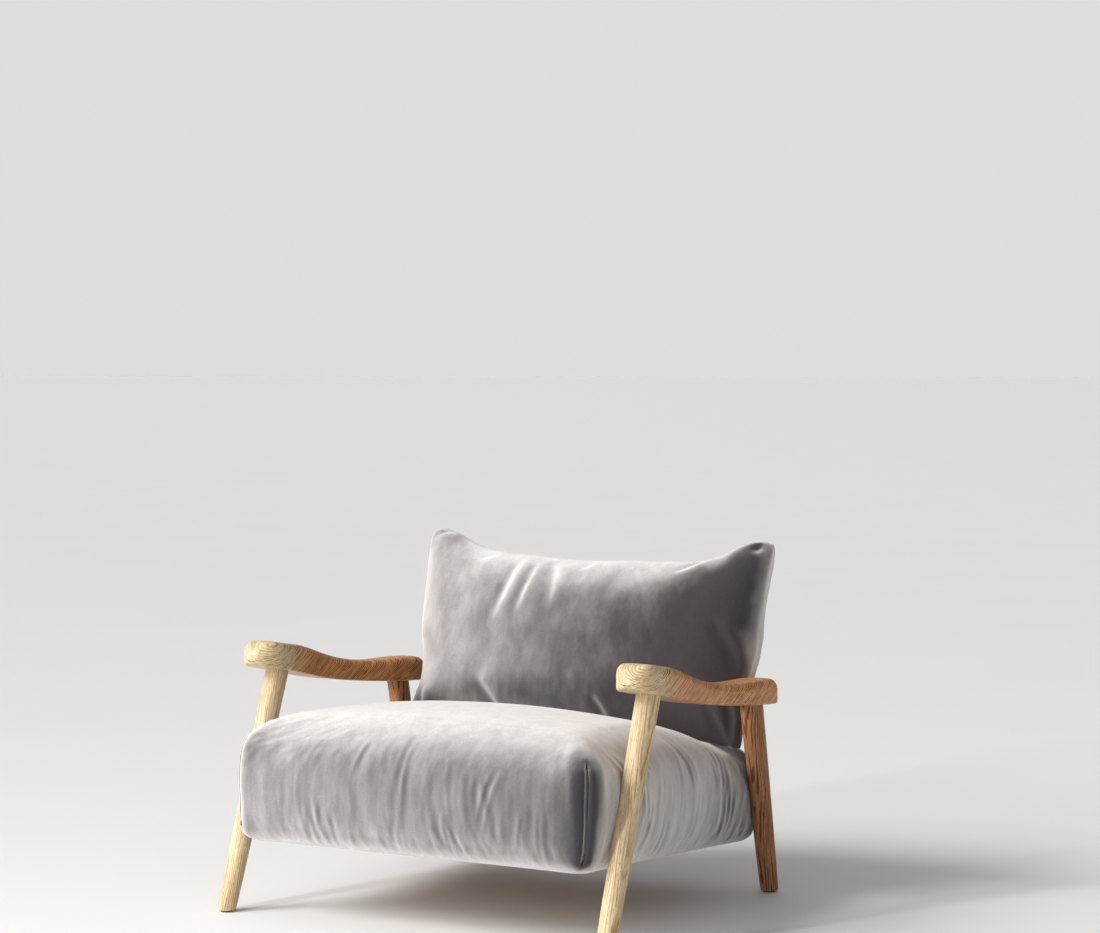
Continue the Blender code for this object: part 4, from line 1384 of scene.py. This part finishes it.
def cushion_nap(where):
    """Painted light and shade on the back cushion's pile: paler at the left where the light falls, on the
    crests of the creases and as a painted sheen on the right rim; painted shade towards the right, at the far
    left edge, in the furrows and along the bottom by the seat; and random brushed patches.
    """
    u, v, face = where.T
    across, up = on_plane(where)
    # Painted light from the left: paler there and darker towards the right, with painted shade at the far left
    # edge.
    nap = 0.107 - 0.075 * smooth_step((u + 0.7) / 1.5) - 0.34 * smooth_step((-0.6 - u) / 0.4)
    # A painted sheen on the right rim, and painted shade just inside it.
    nap += 0.24 * smooth_step((u - 0.91) / 0.08) * smooth_step((v + 0.7) / 0.4) - 0.26 * bell(u - 0.80, 0.22)
    # Painted shade on the lower right.
    nap -= 0.08 * smooth_step((u + 0.1) / 0.5) * smooth_step((0.3 - v) / 0.7)
    # Painted highlight on the creases' crests and painted shade in their furrows.
    nap += 0.09 * np.clip(drawn_creases(where), -1, 1.8)
    # Random brushed patches of the pile.
    nap += 0.055 * waves(23, 3, across * 24, up * 18, face * 2)
    # Painted light towards the top and painted shade along the bottom, by the seat.
    return nap + 0.03 * v - 0.06 * smooth_step((-0.4 - v) / 0.4)


def rest_on(places, support):
    """Lifts the points that lie below the support's upper side up to it, so that the cushion rests there."""
    surface = surface_of(support)
    top = max(v.co.z for v in support.vertices)
    for k in np.flatnonzero(places[:, 2] < top):
        x, y, z = places[k]
        found = surface.ray_cast(Vector((x, y, top + 0.01)), Vector((0, 0, -1)))[0]
        if found is not None:
            places[k, 2] = max(z, found.z + REST_GAP)


class ARMCHAIR_OT_back_cushion(bpy.types.Operator):
    """Make the loose back cushion, filled by a short cloth simulation and then creased"""

    bl_idname = "armchair.back_cushion"
    bl_label = "Back cushion"

    def execute(self, context):
        settings = context.scene.armchair
        shape = CushionShape(settings.back)
        points, faces, where, rim = cushion_mesh(shape, settings.back.cell)
        velvet = velvet_material(settings.velvet)
        piece = make_piece("back_cushion_cover", points, faces, velvet, ["back_cushion"])
        write(piece.data, SHEET, where)
        fill_cover(piece, rim, settings.back, farthest=0.010, rounds=60)
        mesh = subdivide(piece)
        where = take(mesh, SHEET, 3)
        places = raised(mesh, cushion_creases(shape, where))
        if "seat_cover" in bpy.data.objects:
            rest_on(places, bpy.data.objects["seat_cover"].data)
        set_coordinates(mesh, places)
        # Painted light and shade on the back cushion, with random brushed patches, stored as an attribute.
        write(mesh, NAP_AND_PAINTED_LIGHT, cushion_nap(where))
        return {"FINISHED"}


# ------------------------------------------------------------
# Stage

CAMERA_PLACE = (2.853, -4.883, 1.12)
CAMERA_HEADING = math.radians(29.58)  # from +Y towards -X
CAMERA_PITCH = math.radians(-2.05)
CAMERA_LENS, SENSOR_WIDTH = 87.3, 36.0
KEY_FROM = (-0.62, -0.52, 0.62)  # the direction that the soft light comes from
KEY_SPREAD = math.radians(28)
KEY_COLOUR = (1.0, 0.975, 0.94)
SURROUND_FROM = (-0.72, -0.45, 0.53)  # the side from which the soft light all round is strongest
SURROUND_SHARES = (0.45, 1.6)  # of its strength, from the far side and from that side
STRIP_PLACE = (-1.6, -4.2, 1.9)
STRIP_AIM = (0.2, -0.2, 0.35)
STRIP_SIZE = (0.14, 2.2)
FLOOR_SIZE = 900.0


def make_floor(settings):
    half = FLOOR_SIZE / 2
    mesh = bpy.data.meshes.new("floor")
    square = [(-half, -half, 0), (half, -half, 0), (half, half, 0), (-half, half, 0)]
    mesh.from_pydata(square, [], [(0, 1, 2, 3)])
    mesh.materials.append(floor_material(settings))
    put_in_scene("floor", mesh)


def make_lights(settings):
    """A broad soft key from the front left, and a tall strip beside the camera for the gloss on the wood."""
    key = bpy.data.lights.new("key", "SUN")
    key.energy = settings.key_strength
    key.angle = KEY_SPREAD
    key.color = KEY_COLOUR
    strip = bpy.data.lights.new("strip", "AREA")
    strip.shape = "RECTANGLE"
    strip.size, strip.size_y = STRIP_SIZE
    strip.energy = settings.strip_power
    for light, place, direction in (
        (key, (0, 0, 3), -Vector(KEY_FROM)),
        (strip, STRIP_PLACE, Vector(STRIP_AIM) - Vector(STRIP_PLACE)),
    ):
        lamp = put_in_scene(light.name, light)
        lamp.location = place
        lamp.rotation_euler = direction.to_track_quat("-Z", "Y").to_euler()


def make_surround(settings):
    """Soft light from all round, stronger from the left and above, in front of a plain backdrop."""
    world = bpy.data.worlds.new("surround")
    world.use_nodes = True
    tree = world.node_tree
    light = tree.nodes["Background"]
    light.inputs["Color"].default_value = (*settings.surround, 1.0)
    direction = add_node(tree, "ShaderNodeTexCoord").outputs["Generated"]
    inputs = {0: direction, 1: SURROUND_FROM}
    towards = add_node(tree, "ShaderNodeVectorMath", inputs, operation="DOT_PRODUCT").outputs["Value"]
    weak, strong = (share * settings.surround_strength for share in SURROUND_SHARES)
    set_input(tree, light.inputs["Strength"], spread(tree, towards, -0.9, 0.9, weak, strong))
    plain = add_node(tree, "ShaderNodeBackground", {"Color": (*settings.backdrop, 1.0)}).outputs[0]
    seen = add_node(tree, "ShaderNodeLightPath").outputs["Is Camera Ray"]
    mixed = add_node(tree, "ShaderNodeMixShader", {0: seen, 1: light.outputs[0], 2: plain}).outputs[0]
    set_input(tree, tree.nodes["World Output"].inputs["Surface"], mixed)
    bpy.context.scene.world = world


def make_camera():
    camera = bpy.data.cameras.new("camera")
    camera.lens = CAMERA_LENS
    camera.sensor_width = SENSOR_WIDTH
    viewer = put_in_scene("camera", camera)
    viewer.location = CAMERA_PLACE
    viewer.rotation_euler = (QUARTER + CAMERA_PITCH, 0.0, CAMERA_HEADING)
    return viewer


class ARMCHAIR_OT_stage(bpy.types.Operator):
    """Make the floor, the soft light and the camera"""

    bl_idname = "armchair.stage"
    bl_label = "Stage"

    def execute(self, context):
        settings = context.scene.armchair.stage
        make_floor(settings)
        make_lights(settings)
        make_surround(settings)
        context.scene.camera = make_camera()
        context.scene.view_settings.view_transform = "Standard"
        return {"FINISHED"}


# ------------------------------------------------------------
# Panel, registration and run

OPERATORS = (
    ARMCHAIR_OT_stage,
    ARMCHAIR_OT_arms,
    ARMCHAIR_OT_legs,
    ARMCHAIR_OT_seat_frame,
    ARMCHAIR_OT_back_frame,
    ARMCHAIR_OT_seat_cushion,
    ARMCHAIR_OT_back_cushion,
)


class ARMCHAIR_PT_panel(bpy.types.Panel):
    """Lists the settings and the steps that make the armchair"""

    bl_label = "Armchair"
    bl_idname = "ARMCHAIR_PT_panel"
    bl_space_type = "VIEW_3D"
    bl_region_type = "UI"
    bl_category = "Armchair"

    def draw(self, context):
        layout = self.layout
        settings = context.scene.armchair
        for group in settings.bl_rna.properties:
            if group.type != "POINTER" or group.identifier == "rna_type":
                continue
            box = layout.box()
            box.label(text=group.name)
            values = getattr(settings, group.identifier)
            for value in values.bl_rna.properties:
                if value.identifier not in ("rna_type", "name"):
                    box.prop(values, value.identifier)
        for operator in OPERATORS:
            layout.operator(operator.bl_idname)


CLASSES = (
    OakSettings,
    VelvetSettings,
    SideFrameSettings,
    SeatSettings,
    BackCushionSettings,
    StageSettings,
    ArmchairSettings,
    *OPERATORS,
    ARMCHAIR_PT_panel,
)


def register():
    for cls in CLASSES:
        bpy.utils.register_class(cls)
    bpy.types.Scene.armchair = PointerProperty(
        type=ArmchairSettings, name="Armchair", description="Sizes and colours of the armchair"
    )


def unregister():
    del bpy.types.Scene.armchair
    for cls in reversed(CLASSES):
        bpy.utils.unregister_class(cls)


def main():
    register()
    bpy.ops.armchair.stage()
    bpy.ops.armchair.arms()
    bpy.ops.armchair.legs()
    bpy.ops.armchair.seat_frame()
    bpy.ops.armchair.back_frame()
    bpy.ops.armchair.seat_cushion()
    bpy.ops.armchair.back_cushion()


if __name__ == "__main__":
    main()
